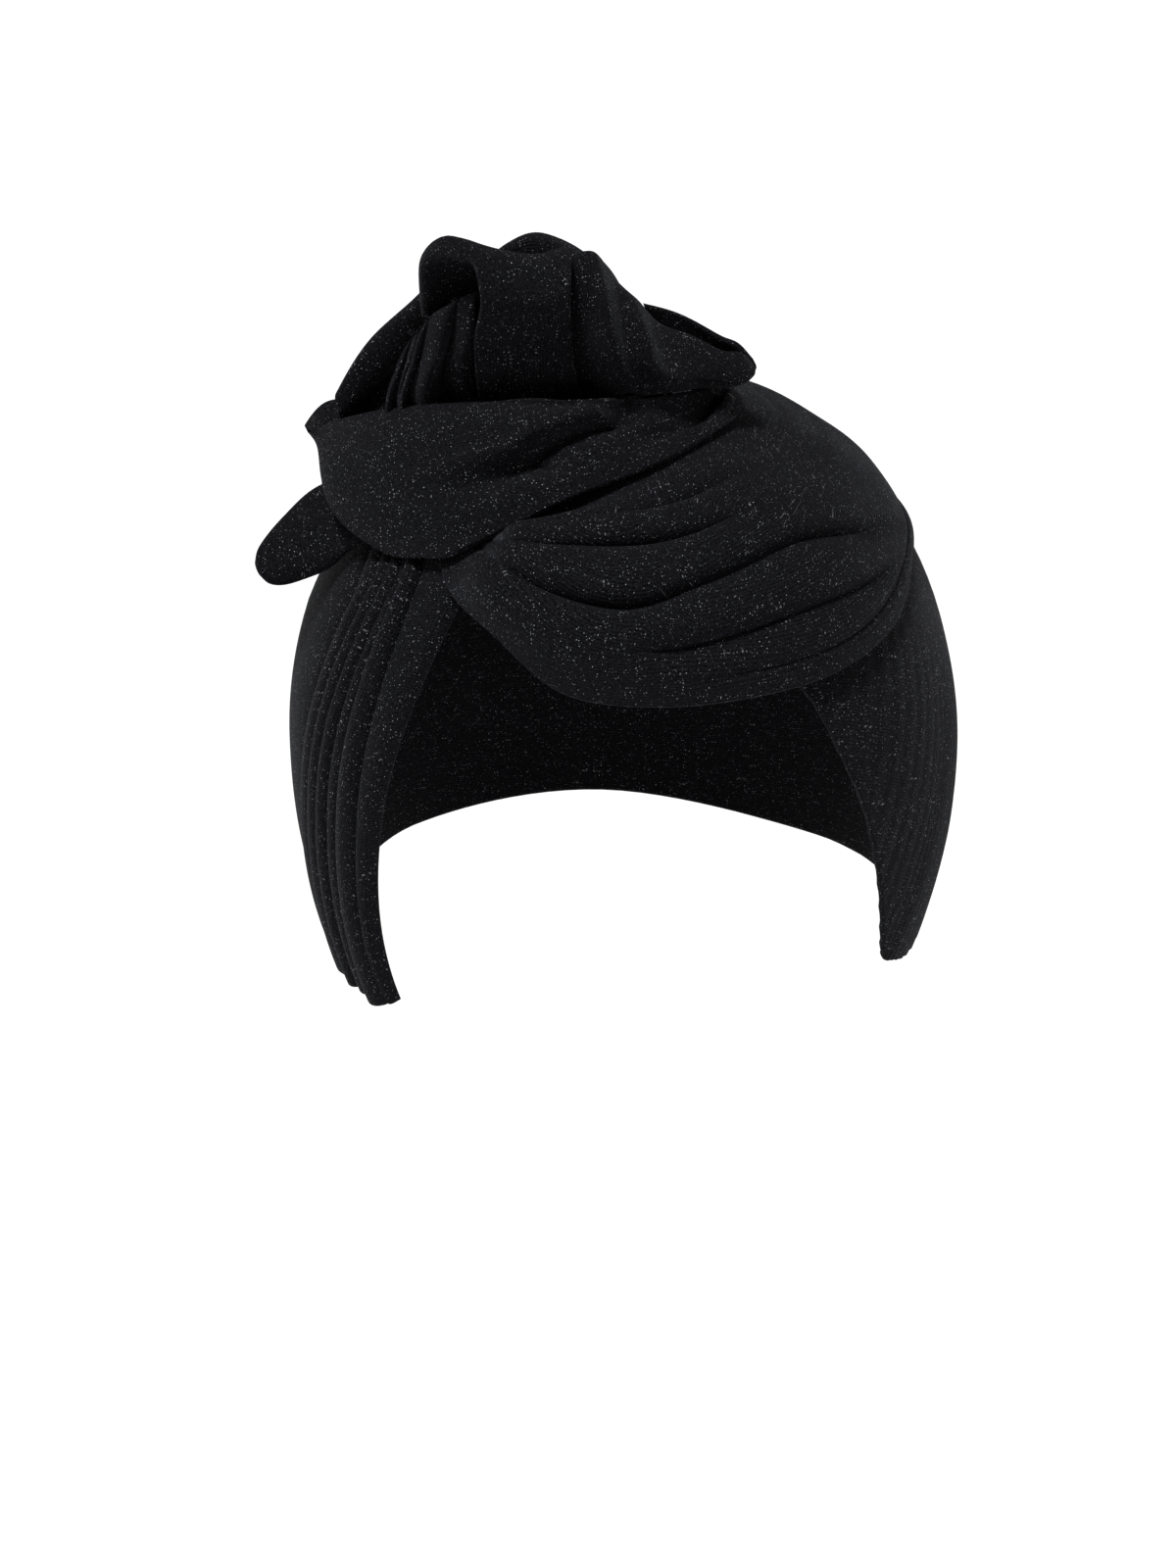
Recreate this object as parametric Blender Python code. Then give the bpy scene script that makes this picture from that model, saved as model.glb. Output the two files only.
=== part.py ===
"""Turban headwrap: a pleated jersey cap under a draped front, gathered into a folded rosette.

Units are metres, +Z is up and the face opening looks along -Y. The origin is the inside top of the
crown, where the wrap sits on the head. Directions on the head are given in degrees as (turn, fall):
turn goes round the leaning crown axis, 0 at the forehead and positive to +X, and fall goes down
from that axis. Points of the rosette are given as (side, back, rise): side runs to +X, back runs
up the slope to the rear, and rise stands off the head, as shares of REACH, DEPTH and RISE.
"""
import bmesh
import bpy
import numpy as np

# Head that the wrap is made for, measured from its centre
HEAD_HALF_WIDTH = 0.0780
HEAD_FRONT = 0.085
HEAD_BACK = 0.0955
HEAD_CROWN = 0.0805
HEAD_DROP = 0.117
HEAD_ROUNDNESS = 2.1
CROWN_LEAN = 30.0

# Cloth
CAP_WALL = 0.0015
DRAPE_WALL = 0.0015
KNOT_WALL = 0.0013
LAYER_GAP = 0.00065
CAP_SLACK = 0.0028
PLEAT_HEIGHT = 0.0022
PLEAT_COUNT = 7
FOLD_HEIGHT = 0.0060

# Rosette: where its middle stands on the head, and how far it reaches
KNOT_TURN = -30.0
KNOT_FALL = 56.0
REACH = 0.050
DEPTH = 0.050
RISE = 0.050

# Heights above the head at which each layer starts
DRAPE_LIFT = CAP_WALL + LAYER_GAP
KNOT_LIFT = CAP_WALL + LAYER_GAP

# Cap lines: turn where a line leaves the rosette's foot, turn and fall where it meets the rim,
# and how loosely the cloth hangs there, as a share of CAP_SLACK
CAP_FOOT_FALL = 75.0
CAP_LINES = (
    (-27, -71, 140.5, 0.0),
    (-36, -76.5, 139, 0.0),
    (-45, -82, 137, 0.0),
    (-54, -88.5, 134, 0.0),
    (-67, -99, 128, 0.0),
    (-88, -118, 119, 0.1),
    (-125, -147, 103, 0.3),
    (-175, -180, 96, 0.4),
    (-225, -216, 105, 0.5),
    (-258, -250, 120, 0.6),
    (-280, -278, 131, 0.7),
    (-296, -293, 133.5, 0.7),
    (-304, -301, 132, 0.55),
    (-315, -314, 120, 0.25),
    (-328, -328, 104, 0.0),
    (-340, -340, 91, 0.0),
    (-356, -356, 91, 0.0),
    (-373, -373, 87.5, 0.0),
    (-387, -386, 78, 0.0),
)
CAP_PLEATED_LINES = 5
CAP_LEAN_EASE = 1.25

# Drape lines from the rosette's foot round the crown: turn and fall of each point
HEM = ((-32, 72), (-29.5, 77), (-20, 86), (-11, 94), (1, 96), (13, 94.8), (26, 91), (39, 83), (51, 70), (75, 56),
       (115, 48), (168, 45), (-143, 46), (-110, 49), (-84, 54), (-66, 52))
CREASE_SIXTH = ((-29.5, 71), (-25, 76.5), (-16, 84), (-4, 89.5), (8, 87.7), (20, 83), (34, 75.5), (49, 65),
                (74, 50), (112, 40), (168, 36), (-140, 38), (-108, 43), (-84, 50), (-65, 50))
CREASE_DEEP = ((-27, 70), (-21, 75.5), (-12, 82), (-3, 84), (8, 80), (22, 72), (37, 66), (53, 57),
               (74, 43), (110, 31), (165, 27), (-135, 30), (-105, 38), (-84, 46), (-64, 48))
CREASE_SHORT = ((-25.5, 69.5), (-19.5, 74), (-8, 75.3), (5, 74), (20, 67), (36, 57), (52, 45), (72, 32),
                (105, 20), (165, 15), (-125, 20), (-95, 32), (-78, 43), (-63, 46))
CREASE_MIDDLE = ((-25, 69), (-19, 72.3), (-8, 71.5), (4, 68), (16, 62), (31, 51), (45, 39), (58, 26),
                 (75, 12), (-110, 5), (-85, 20), (-75, 34), (-61, 44))
CREASE_UPPER = ((-26, 68.5), (-18, 69.8), (-12, 68.3), (-3, 62.5), (9, 55.5), (22, 47.5), (33, 38), (38, 27),
                (22, 17), (-25, 13), (-60, 24), (-66, 35), (-59, 42))
UNDER_KNOT = ((-28, 67.5), (-19, 66.5), (-8, 62), (5, 56), (16, 48), (23, 39), (18, 32), (0, 28),
              (-28, 30), (-46, 35), (-55, 39))
DRAPE_LINES = (HEM, CREASE_SIXTH, CREASE_DEEP, CREASE_SHORT, CREASE_MIDDLE, CREASE_UPPER, UNDER_KNOT)
# Creases between the folds: share of the line where each starts, where it ends, and its depth
DRAPE_CREASES = (
    (0.00, 0.00, 0.0),
    (0.13, 0.24, 0.65),
    (0.02, 0.32, 1.0),
    (0.01, 0.11, 0.75),
    (0.01, 0.17, 0.85),
    (0.01, 0.06, 0.4),
    (0.00, 0.00, 0.0),
)
# Height of the folds across the drape, at each line, and along it, at even steps
DRAPE_CREST = (0.0, 0.95, 1.0, 0.9, 0.8, 0.0, 0.0)
DRAPE_SWELL = (0.5, 0.95, 1.0, 0.70, 0.25, 0.10, 0.15, 0.2, 0.15, 0.1, 0.0)
DRAPE_TUCKED = 0.02
DRAPE_RISEN = 0.09

# Wrap band: lines from its hidden end on the crown round to the folded edge and back inside
BAND_LINES = (
    ((0.98, 1.00, 0.07), (1.20, 0.80, 0.07), (1.29, 0.48, 0.07), (1.24, 0.16, 0.07), (1.06, -0.10, 0.07),
     (0.80, -0.34, 0.08), (0.44, -0.50, 0.095), (0.08, -0.58, 0.10), (-0.20, -0.56, 0.10),
     (-0.26, -0.51, 0.10)),
    ((0.97, 0.96, 0.10), (1.17, 0.77, 0.10), (1.25, 0.47, 0.10), (1.20, 0.20, 0.10), (1.05, -0.05, 0.12),
     (0.78, -0.26, 0.16), (0.42, -0.40, 0.21), (0.04, -0.45, 0.23), (-0.27, -0.42, 0.18),
     (-0.46, -0.34, 0.09), (-0.44, -0.27, 0.07)),
    ((0.97, 0.92, 0.11), (1.15, 0.74, 0.11), (1.22, 0.46, 0.11), (1.18, 0.21, 0.11), (1.05, 0.00, 0.13),
     (0.77, -0.21, 0.19), (0.40, -0.31, 0.29), (-0.04, -0.30, 0.33), (-0.38, -0.20, 0.30),
     (-0.67, -0.08, 0.21), (-0.66, 0.04, 0.17)),
    ((0.98, 0.89, 0.11), (1.12, 0.70, 0.11), (1.18, 0.45, 0.11), (1.15, 0.24, 0.11), (1.04, 0.06, 0.14),
     (0.78, -0.14, 0.23), (0.42, -0.22, 0.35), (-0.08, -0.16, 0.40), (-0.46, 0.00, 0.38),
     (-0.72, 0.18, 0.33), (-0.66, 0.28, 0.27)),
    ((1.00, 0.85, 0.10), (1.09, 0.66, 0.10), (1.15, 0.45, 0.115), (1.16, 0.29, 0.14), (1.08, 0.17, 0.175),
     (0.96, 0.07, 0.215), (0.81, -0.05, 0.26), (0.66, -0.11, 0.31), (0.50, -0.14, 0.35),
     (0.16, -0.06, 0.38), (-0.22, 0.12, 0.41), (-0.56, 0.34, 0.43), (-0.82, 0.60, 0.44),
     (-0.74, 0.63, 0.37)),
)

# Crease in the band: its places along and across it, and its depth as a share of the deepest
BAND_CREASE = (
    (0.28, 1.00, 0.5),
    (0.46, 0.68, 1.0),
    (0.65, 0.34, 1.0),
    (0.82, 0.30, 0.0),
)
BAND_CREASE_DEPTH = 0.0022
BAND_CREASE_WIDTH = 0.11

# Front loop: lines up the front panel, over the ridge and down the back
FRONT_LOOP_LINES = (
    ((0.08, 0.14, 0.00), (0.13, 0.07, 0.30), (0.24, 0.03, 0.60), (0.38, -0.04, 0.86),
     (0.40, 0.06, 1.02), (0.30, 0.19, 1.05), (0.17, 0.27, 0.96), (0.07, 0.30, 0.80),
     (0.00, 0.34, 0.60), (0.00, 0.38, 0.00)),
    ((0.32, 0.13, 0.00), (0.34, 0.04, 0.30), (0.46, 0.00, 0.60), (0.58, -0.03, 0.85),
     (0.60, 0.07, 0.96), (0.56, 0.21, 0.96), (0.48, 0.32, 0.78), (0.40, 0.37, 0.50),
     (0.36, 0.38, 0.00)),
    ((0.54, 0.14, 0.00), (0.57, 0.02, 0.28), (0.65, -0.01, 0.58), (0.74, -0.03, 0.84),
     (0.78, 0.08, 0.93), (0.76, 0.22, 0.91), (0.69, 0.33, 0.72), (0.62, 0.36, 0.46),
     (0.58, 0.36, 0.00)),
)

# Inner folds: lines up the left side, the middle and the right side of the fluted wall
INNER_FOLD_LINES = (
    ((-0.30, 0.26, 0.00), (-0.26, 0.18, 0.34), (-0.16, 0.20, 0.54), (-0.08, 0.22, 0.62)),
    ((-0.10, 0.24, 0.00), (-0.06, 0.14, 0.34), (0.06, 0.14, 0.58), (0.12, 0.16, 0.74)),
    ((0.12, 0.25, 0.00), (0.20, 0.20, 0.34), (0.28, 0.18, 0.60), (0.33, 0.15, 0.78)),
)
INNER_FOLD_COUNT = 3
INNER_FOLD_HEIGHT = 0.0026

# Left panel: lines from its front foot up to the ridge and down its back
LEFT_PANEL_LINES = (
    ((-0.62, 0.36, 0.00), (-0.60, 0.40, 0.30), (-0.56, 0.46, 0.50), (-0.54, 0.54, 0.46),
     (-0.58, 0.66, 0.24), (-0.62, 0.74, 0.08)),
    ((-0.36, 0.36, 0.00), (-0.34, 0.40, 0.34), (-0.30, 0.48, 0.62), (-0.28, 0.58, 0.58),
     (-0.32, 0.74, 0.30), (-0.36, 0.82, 0.08)),
    ((-0.12, 0.44, 0.00), (-0.10, 0.44, 0.36), (-0.04, 0.46, 0.70), (-0.02, 0.58, 0.68),
     (-0.06, 0.76, 0.34), (-0.08, 0.84, 0.08)),
    ((0.08, 0.48, 0.00), (0.10, 0.46, 0.40), (0.16, 0.44, 0.80), (0.17, 0.54, 0.78),
     (0.14, 0.72, 0.40), (0.12, 0.82, 0.08)),
)

# Back loop: lines over its front rim and two more behind it, each from its left to its right foot
BACK_LOOP_LINES = (
    ((0.24, 0.46, 0.00), (0.25, 0.44, 0.44), (0.32, 0.44, 0.75), (0.48, 0.42, 0.85),
     (0.62, 0.42, 0.87), (0.75, 0.42, 0.77), (0.85, 0.44, 0.54), (0.90, 0.46, 0.00)),
    ((0.20, 0.62, 0.04), (0.22, 0.60, 0.40), (0.32, 0.58, 0.68), (0.48, 0.58, 0.78),
     (0.63, 0.58, 0.80), (0.77, 0.58, 0.69), (0.87, 0.60, 0.45), (0.92, 0.62, 0.04)),
    ((0.22, 0.76, 0.07), (0.26, 0.74, 0.28), (0.36, 0.74, 0.46), (0.50, 0.74, 0.52),
     (0.63, 0.74, 0.52), (0.76, 0.74, 0.44), (0.84, 0.76, 0.28), (0.88, 0.78, 0.07)),
    ((0.30, 0.84, 0.07), (0.36, 0.85, 0.08), (0.44, 0.86, 0.09), (0.53, 0.87, 0.09),
     (0.62, 0.87, 0.09), (0.70, 0.86, 0.09), (0.77, 0.85, 0.08), (0.82, 0.84, 0.07)),
)

# Right folds: lines from behind the ridge, over it and down to the lower edge, left to right
RIGHT_FOLD_LINES = (
    ((0.70, 0.28, 0.70), (0.72, 0.23, 0.83), (0.68, 0.12, 0.77), (0.61, 0.10, 0.48),
     (0.56, 0.12, 0.26), (0.54, 0.20, 0.00)),
    ((0.87, 0.31, 0.74), (0.87, 0.17, 0.87), (0.86, -0.01, 0.78), (0.80, -0.09, 0.52),
     (0.76, -0.02, 0.26)),
    ((0.92, 0.30, 0.58), (0.91, 0.17, 0.72), (0.89, 0.05, 0.63), (0.86, -0.05, 0.44),
     (0.84, 0.00, 0.24)),
    ((0.98, 0.30, 0.48), (0.96, 0.16, 0.64), (0.98, 0.01, 0.55), (0.96, -0.05, 0.40),
     (0.94, 0.02, 0.24)),
    ((1.03, 0.28, 0.38), (1.02, 0.20, 0.52), (1.01, 0.08, 0.45), (1.02, 0.00, 0.34),
     (1.02, 0.05, 0.24)),
    ((1.13, 0.28, 0.36), (1.13, 0.24, 0.44), (1.13, 0.14, 0.39), (1.13, 0.08, 0.30),
     (1.13, 0.12, 0.23)),
    ((1.26, 0.25, 0.36), (1.27, 0.21, 0.39), (1.27, 0.15, 0.35), (1.26, 0.12, 0.28),
     (1.24, 0.16, 0.23)),
    ((1.36, 0.25, 0.36), (1.37, 0.24, 0.375), (1.38, 0.21, 0.35), (1.36, 0.20, 0.30),
     (1.34, 0.22, 0.265)),
)

# Right tail: lines from its root to its tip, down the back wall and forward along the bottom
RIGHT_TAIL_LINES = (
    ((0.96, 0.46, 0.50), (1.13, 0.49, 0.44), (1.29, 0.41, 0.39), (1.39, 0.32, 0.385)),
    ((0.95, 0.46, 0.28), (1.14, 0.46, 0.27), (1.28, 0.39, 0.27), (1.40, 0.31, 0.32)),
    ((0.90, 0.40, 0.013), (0.99, 0.38, 0.15), (1.12, 0.34, 0.18), (1.26, 0.30, 0.205),
     (1.37, 0.28, 0.27)),
    ((0.90, 0.31, 0.013), (0.98, 0.29, 0.16), (1.10, 0.22, 0.19), (1.23, 0.22, 0.20),
     (1.35, 0.26, 0.25)),
)

# Left tail: middle of each section, half width, half thickness as shares of RISE, and tilt
LEFT_TAIL_SECTIONS = (
    (-0.46, 0.06, 0.06, 0.12, 0.05, 0),
    (-0.60, 0.10, 0.08, 0.20, 0.06, 4),
    (-0.73, 0.14, 0.13, 0.25, 0.07, 10),
    (-0.86, 0.085, 0.19, 0.24, 0.08, 16),
    (-1.00, -0.005, 0.26, 0.175, 0.08, 18),
    (-1.10, -0.09, 0.325, 0.11, 0.06, 18),
    (-1.15, -0.13, 0.37, 0.055, 0.035, 18),
)

# How sharply folds meet in their creases: below 1 the folds are rounder and the creases sharper
PLEAT_SHARPNESS = 0.8
CREASE_SHARPNESS = 0.7
FLUTE_SHARPNESS = 0.8
# Shares of the cap's skirt over which its pleats rise and its cloth comes loose
PLEAT_RISE_SHARE = 0.25
SLACK_RISE_SHARE = 0.67
# Shares of a drape crease's length over which it starts and fades away
CREASE_START_SHARE = 0.06
CREASE_FADE_SHARE = 0.09
# Thickness of the doubled cloth in the inner folds, in walls
INNER_FOLD_WALLS = 1.5
# How far the left tail's closed tip stands past its last section, and its inside stops short of it
LEFT_TAIL_TIP = (-0.03, -0.02, 0.02)
LEFT_TAIL_INSET = 0.5

# Fineness of the meshes
CAP_PLEAT_STEPS = 4
CAP_PLAIN_STEPS = 30
CAP_DOME_ROWS = 7
CAP_SKIRT_ROWS = 8
DRAPE_STEPS_PER_FOLD = 4
DRAPE_ROWS = 31
BAND_STEPS = (11, 26)
FRONT_LOOP_STEPS = (5, 22)
FLUTE_STEPS = 4
INNER_FOLD_ROWS = 7
LEFT_PANEL_STEPS = (9, 14)
BACK_LOOP_STEPS = (7, 16)
RIGHT_FOLD_STEPS = (20, 8)
RIGHT_TAIL_STEPS = (8, 9)
LEFT_TAIL_SIDES = 12
LEFT_TAIL_ROWS = 9

BLACK_JERSEY = (0.012, 0.012, 0.015)
JERSEY_ROUGHNESS = 0.62


def spline(points, shares, even=False):
    """Smooth values at shares 0 to 1 of the way along the first axis of points."""
    points = np.asarray(points, float)
    if even:
        knots = np.linspace(0.0, 1.0, len(points))
    else:
        steps = np.linalg.norm(np.diff(points, axis=0), axis=-1)
        knots = np.concatenate(([0.0], np.cumsum(steps))) / steps.sum()
    slopes = np.gradient(points, knots, axis=0)
    shares = np.asarray(shares, float)
    first = np.clip(np.searchsorted(knots, shares, side="right") - 1, 0, len(knots) - 2)
    span = knots[first + 1] - knots[first]
    part = (shares - knots[first]) / span
    shape = (-1,) + (1,) * (points.ndim - 1)
    span, part = span.reshape(shape), part.reshape(shape)
    start, end = points[first], points[first + 1]
    leave, arrive = slopes[first] * span, slopes[first + 1] * span
    return (start * (1 + 2 * part) * (1 - part) ** 2 + leave * part * (1 - part) ** 2
            + end * part ** 2 * (3 - 2 * part) - arrive * part ** 2 * (1 - part))


def unit(vectors):
    return vectors / np.linalg.norm(vectors, axis=-1, keepdims=True)


def direction(turn, fall):
    """Unit vector from the head's centre, from degrees round and down the leaning crown axis."""
    turn, fall = np.broadcast_arrays(np.radians(turn), np.radians(fall))
    lean = np.radians(CROWN_LEAN)
    forward = -np.sin(fall) * np.cos(turn)
    along = np.cos(fall)
    return np.stack((np.sin(fall) * np.sin(turn),
                     forward * np.cos(lean) + along * np.sin(lean),
                     along * np.cos(lean) - forward * np.sin(lean)), -1)


def head_axes(directions):
    """Half axes of the head on the side that each direction points to."""
    depth = np.where(directions[..., 1] < 0, HEAD_FRONT, HEAD_BACK)
    height = np.where(directions[..., 2] > 0, HEAD_CROWN, HEAD_DROP)
    return np.stack((np.full_like(depth, HEAD_HALF_WIDTH), depth, height), -1)


def on_head(directions, lift):
    """Points that stand off the head by lift, seen from the origin at the top of the crown."""
    directions = unit(directions)
    axes = head_axes(directions)
    radius = (np.abs(directions / axes) ** HEAD_ROUNDNESS).sum(-1) ** (-1 / HEAD_ROUNDNESS)
    surface = directions * radius[..., None]
    slope = np.sign(surface) * np.abs(surface / axes) ** (HEAD_ROUNDNESS - 1) / axes
    points = surface + unit(slope) * np.asarray(lift)[..., None]
    return points - np.array((0.0, 0.0, HEAD_CROWN))


def on_knot(shares):
    """Points of the rosette from rows of (side, back, rise)."""
    shares = np.asarray(shares, float)
    middle = direction(KNOT_TURN, KNOT_FALL)
    foot = on_head(middle, 0.0)
    outward = unit(on_head(middle, RISE) - foot)
    radius = np.linalg.norm(foot + np.array((0.0, 0.0, HEAD_CROWN)))
    level = np.array((1.0, 0.0, 0.0))
    sideways = unit(level - outward * (level @ outward))
    sideways = unit(sideways - middle * (sideways @ middle))
    backward = np.cross(middle, sideways)
    height = KNOT_LIFT + shares[..., 2] * RISE
    side = shares[..., 0] * REACH / (radius + height)
    back = shares[..., 1] * DEPTH / (radius + height)
    bend = np.hypot(side, back)
    ratio = np.sinc(bend / np.pi)
    towards = (middle * np.cos(bend)[..., None] + sideways * (side * ratio)[..., None]
               + backward * (back * ratio)[..., None])
    return on_head(towards, height)


def jersey(name):
    material = bpy.data.materials.new(name)
    material.use_nodes = True
    shader = material.node_tree.nodes["Principled BSDF"]
    shader.inputs["Base Color"].default_value = (*BLACK_JERSEY, 1.0)
    shader.inputs["Roughness"].default_value = JERSEY_ROUGHNESS
    shader.inputs["Metallic"].default_value = 0.0
    return material


def shell(name, outer, inner):
    """Closed cloth piece between two matching grids of points, joined round their open edges."""
    rows, columns = outer.shape[:2]
    numbers = {}
    index = np.empty((rows, columns), int)
    for row in range(rows):
        for column in range(columns):
            key = tuple(np.round(outer[row, column], 7) + 0.0)
            index[row, column] = numbers.setdefault(key, len(numbers))
    count = len(numbers)
    points = np.empty((2 * count, 3))
    points[index] = outer
    points[index + count] = inner
    faces = []
    for row in range(rows - 1):
        for column in range(columns - 1):
            corners = (index[row, column], index[row + 1, column],
                       index[row + 1, column + 1], index[row, column + 1])
            corners = tuple(dict.fromkeys(int(corner) for corner in corners))
            if len(corners) > 2:
                faces.append(corners)
    edges = {(face[k - 1], face[k]) for face in faces for k in range(len(face))}
    rim = [edge for edge in sorted(edges) if edge[::-1] not in edges]
    faces += [tuple(corner + count for corner in face[::-1]) for face in faces]
    faces += [(end, start, start + count, end + count) for start, end in rim]

    mesh = bpy.data.meshes.new(name)
    mesh.from_pydata(points.tolist(), [], faces)
    solid = bmesh.new()
    solid.from_mesh(mesh)
    bmesh.ops.recalc_face_normals(solid, faces=solid.faces)
    bmesh.ops.triangulate(solid, faces=solid.faces)
    solid.to_mesh(mesh)
    solid.free()
    mesh.shade_smooth()
    mesh.materials.append(jersey(name))
    piece = bpy.data.objects.new(name, mesh)
    bpy.context.scene.collection.objects.link(piece)
    return piece


def ease(share):
    """Smooth step from 0 to 1."""
    share = np.clip(share, 0.0, 1.0)
    return share * share * (3 - 2 * share)


def cap_grid():
    """Directions of the cap's grid and the height of its cloth above the head at each point."""
    line_count = len(CAP_LINES) - 1
    pleated = CAP_PLEATED_LINES / line_count
    pleat_shares = np.linspace(0.0, pleated, PLEAT_COUNT * CAP_PLEAT_STEPS + 1)
    plain_shares = np.linspace(pleated, 1.0, CAP_PLAIN_STEPS + 1)[1:]
    across = np.concatenate((pleat_shares, plain_shares))
    foot_turn, rim_turn, rim_fall, slack = spline(CAP_LINES, across, even=True).T

    dome = np.linspace(0.0, 1.0, CAP_DOME_ROWS + 1)
    skirt = np.linspace(0.0, 1.0, CAP_SKIRT_ROWS + 1)[1:]
    dome_turn = np.broadcast_to(foot_turn, (len(dome), len(across)))
    dome_fall = np.broadcast_to(dome[:, None] * CAP_FOOT_FALL, dome_turn.shape)
    skirt_fall = CAP_FOOT_FALL + (rim_fall - CAP_FOOT_FALL) * skirt[:, None]
    skirt_turn = foot_turn + (rim_turn - foot_turn) * skirt[:, None] ** CAP_LEAN_EASE
    turn = np.concatenate((dome_turn, skirt_turn))
    fall = np.concatenate((dome_fall, skirt_fall))

    ripple = np.abs(np.sin(np.pi * PLEAT_COUNT * across / pleated)) ** PLEAT_SHARPNESS
    ripple[across > pleated] = 0.0
    rise = np.concatenate((np.zeros(len(dome)), ease(skirt / PLEAT_RISE_SHARE)))
    loose = np.concatenate((np.zeros(len(dome)), ease(skirt / SLACK_RISE_SHARE)))
    lift = rise[:, None] * ripple * PLEAT_HEIGHT + loose[:, None] * slack * CAP_SLACK
    return direction(turn, fall), lift


def make_cap():
    directions, lift = cap_grid()
    return shell("cap", on_head(directions, lift + CAP_WALL), on_head(directions, lift))


def drape_relief(across, along):
    """Share of the fold height over the drape, with its creases cut into the folds."""
    crest = spline(np.array(DRAPE_CREST)[:, None], across, even=True)
    swell = spline(np.array(DRAPE_SWELL)[:, None], along, even=True).T
    swell = swell * ease((along - DRAPE_TUCKED) / (DRAPE_RISEN - DRAPE_TUCKED))
    position = across * (len(DRAPE_LINES) - 1)
    relief = np.clip(crest, 0.0, None) * np.clip(swell, 0.0, None)
    for line, (start, end, depth) in enumerate(DRAPE_CREASES):
        if depth == 0.0:
            continue
        offset = np.clip(np.abs(position - line), 0.0, 0.5)
        notch = 1 - np.sin(np.pi * offset) ** CREASE_SHARPNESS
        starting = ease((along - start) / CREASE_START_SHARE)
        fading = ease((end - along) / CREASE_FADE_SHARE + 1)
        relief = relief * (1 - depth * notch[:, None] * starting * fading)
    return relief


def make_front_drape():
    across = np.linspace(0.0, 1.0, (len(DRAPE_LINES) - 1) * DRAPE_STEPS_PER_FOLD + 1)
    along = np.linspace(0.0, 1.0, DRAPE_ROWS + 1)
    lines = [unit(spline(direction(*np.array(line, float).T), along)) for line in DRAPE_LINES]
    directions = spline(np.array(lines), across, even=True)
    lift = DRAPE_LIFT + drape_relief(across, along) * FOLD_HEIGHT
    return shell("front_drape", on_head(directions, lift + DRAPE_WALL), on_head(directions, lift))


def knot_grid(lines, steps):
    """Grid of (side, back, rise) through hand-placed lines, with steps across and along them."""
    along = np.linspace(0.0, 1.0, steps[1] + 1)
    rows = np.array([spline(line, along) for line in lines])
    return spline(rows, np.linspace(0.0, 1.0, steps[0] + 1), even=True)


def grid_normals(points):
    down = np.gradient(points, axis=0)
    right = np.gradient(points, axis=1)
    return unit(np.cross(down, right))


def cloth(name, points, facing):
    """Cloth of even thickness behind a grid of points; facing is 1 or -1, towards its face side."""
    return shell(name, points, points - grid_normals(points) * facing * KNOT_WALL)


def make_wrap_band():
    """Band with one slanting crease that ends at its upper edge."""
    points = on_knot(knot_grid(BAND_LINES, BAND_STEPS))
    across = np.linspace(0.0, 1.0, BAND_STEPS[0] + 1)[:, None]
    along = np.linspace(0.0, 1.0, BAND_STEPS[1] + 1)
    place, line, depth = np.array(BAND_CREASE).T
    depth = np.interp(along, place, depth, left=0.0, right=0.0) * BAND_CREASE_DEPTH
    groove = depth * np.exp(-((across - np.interp(along, place, line)) / BAND_CREASE_WIDTH) ** 2)
    points = points - grid_normals(points) * groove[..., None]
    return cloth("wrap_band", points, 1)


def make_front_loop():
    return cloth("front_loop", on_knot(knot_grid(FRONT_LOOP_LINES, FRONT_LOOP_STEPS)), 1)


def make_inner_folds():
    across = INNER_FOLD_COUNT * FLUTE_STEPS
    grid = knot_grid(INNER_FOLD_LINES, (across, INNER_FOLD_ROWS))
    share = np.linspace(0.0, 1.0, across + 1)
    flute = np.abs(np.sin(np.pi * INNER_FOLD_COUNT * share)) ** FLUTE_SHARPNESS
    grid[..., 1] -= flute[:, None] * INNER_FOLD_HEIGHT / DEPTH
    behind = grid.copy()
    behind[..., 1] += INNER_FOLD_WALLS * KNOT_WALL / DEPTH
    return shell("inner_folds", on_knot(grid), on_knot(behind))


def make_left_panel():
    return cloth("left_panel", on_knot(knot_grid(LEFT_PANEL_LINES, LEFT_PANEL_STEPS)), 1)


def make_back_loop():
    return cloth("back_loop", on_knot(knot_grid(BACK_LOOP_LINES, BACK_LOOP_STEPS)), -1)


def make_right_folds():
    return cloth("right_folds", on_knot(knot_grid(RIGHT_FOLD_LINES, RIGHT_FOLD_STEPS)), -1)


def make_right_tail():
    return cloth("right_tail", on_knot(knot_grid(RIGHT_TAIL_LINES, RIGHT_TAIL_STEPS)), -1)


def tail_section(middle, half_width, half_thickness, tilt):
    angles = np.linspace(0.0, 2 * np.pi, LEFT_TAIL_SIDES + 1)
    wide = half_width * np.cos(angles)
    thick = half_thickness * np.sin(angles)
    lean = np.radians(tilt)
    ring = np.empty((len(angles), 3))
    ring[:, 0] = middle[0]
    ring[:, 1] = middle[1] + (wide * np.cos(lean) - thick * np.sin(lean))
    ring[:, 2] = middle[2] + (wide * np.sin(lean) + thick * np.cos(lean))
    return ring


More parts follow.
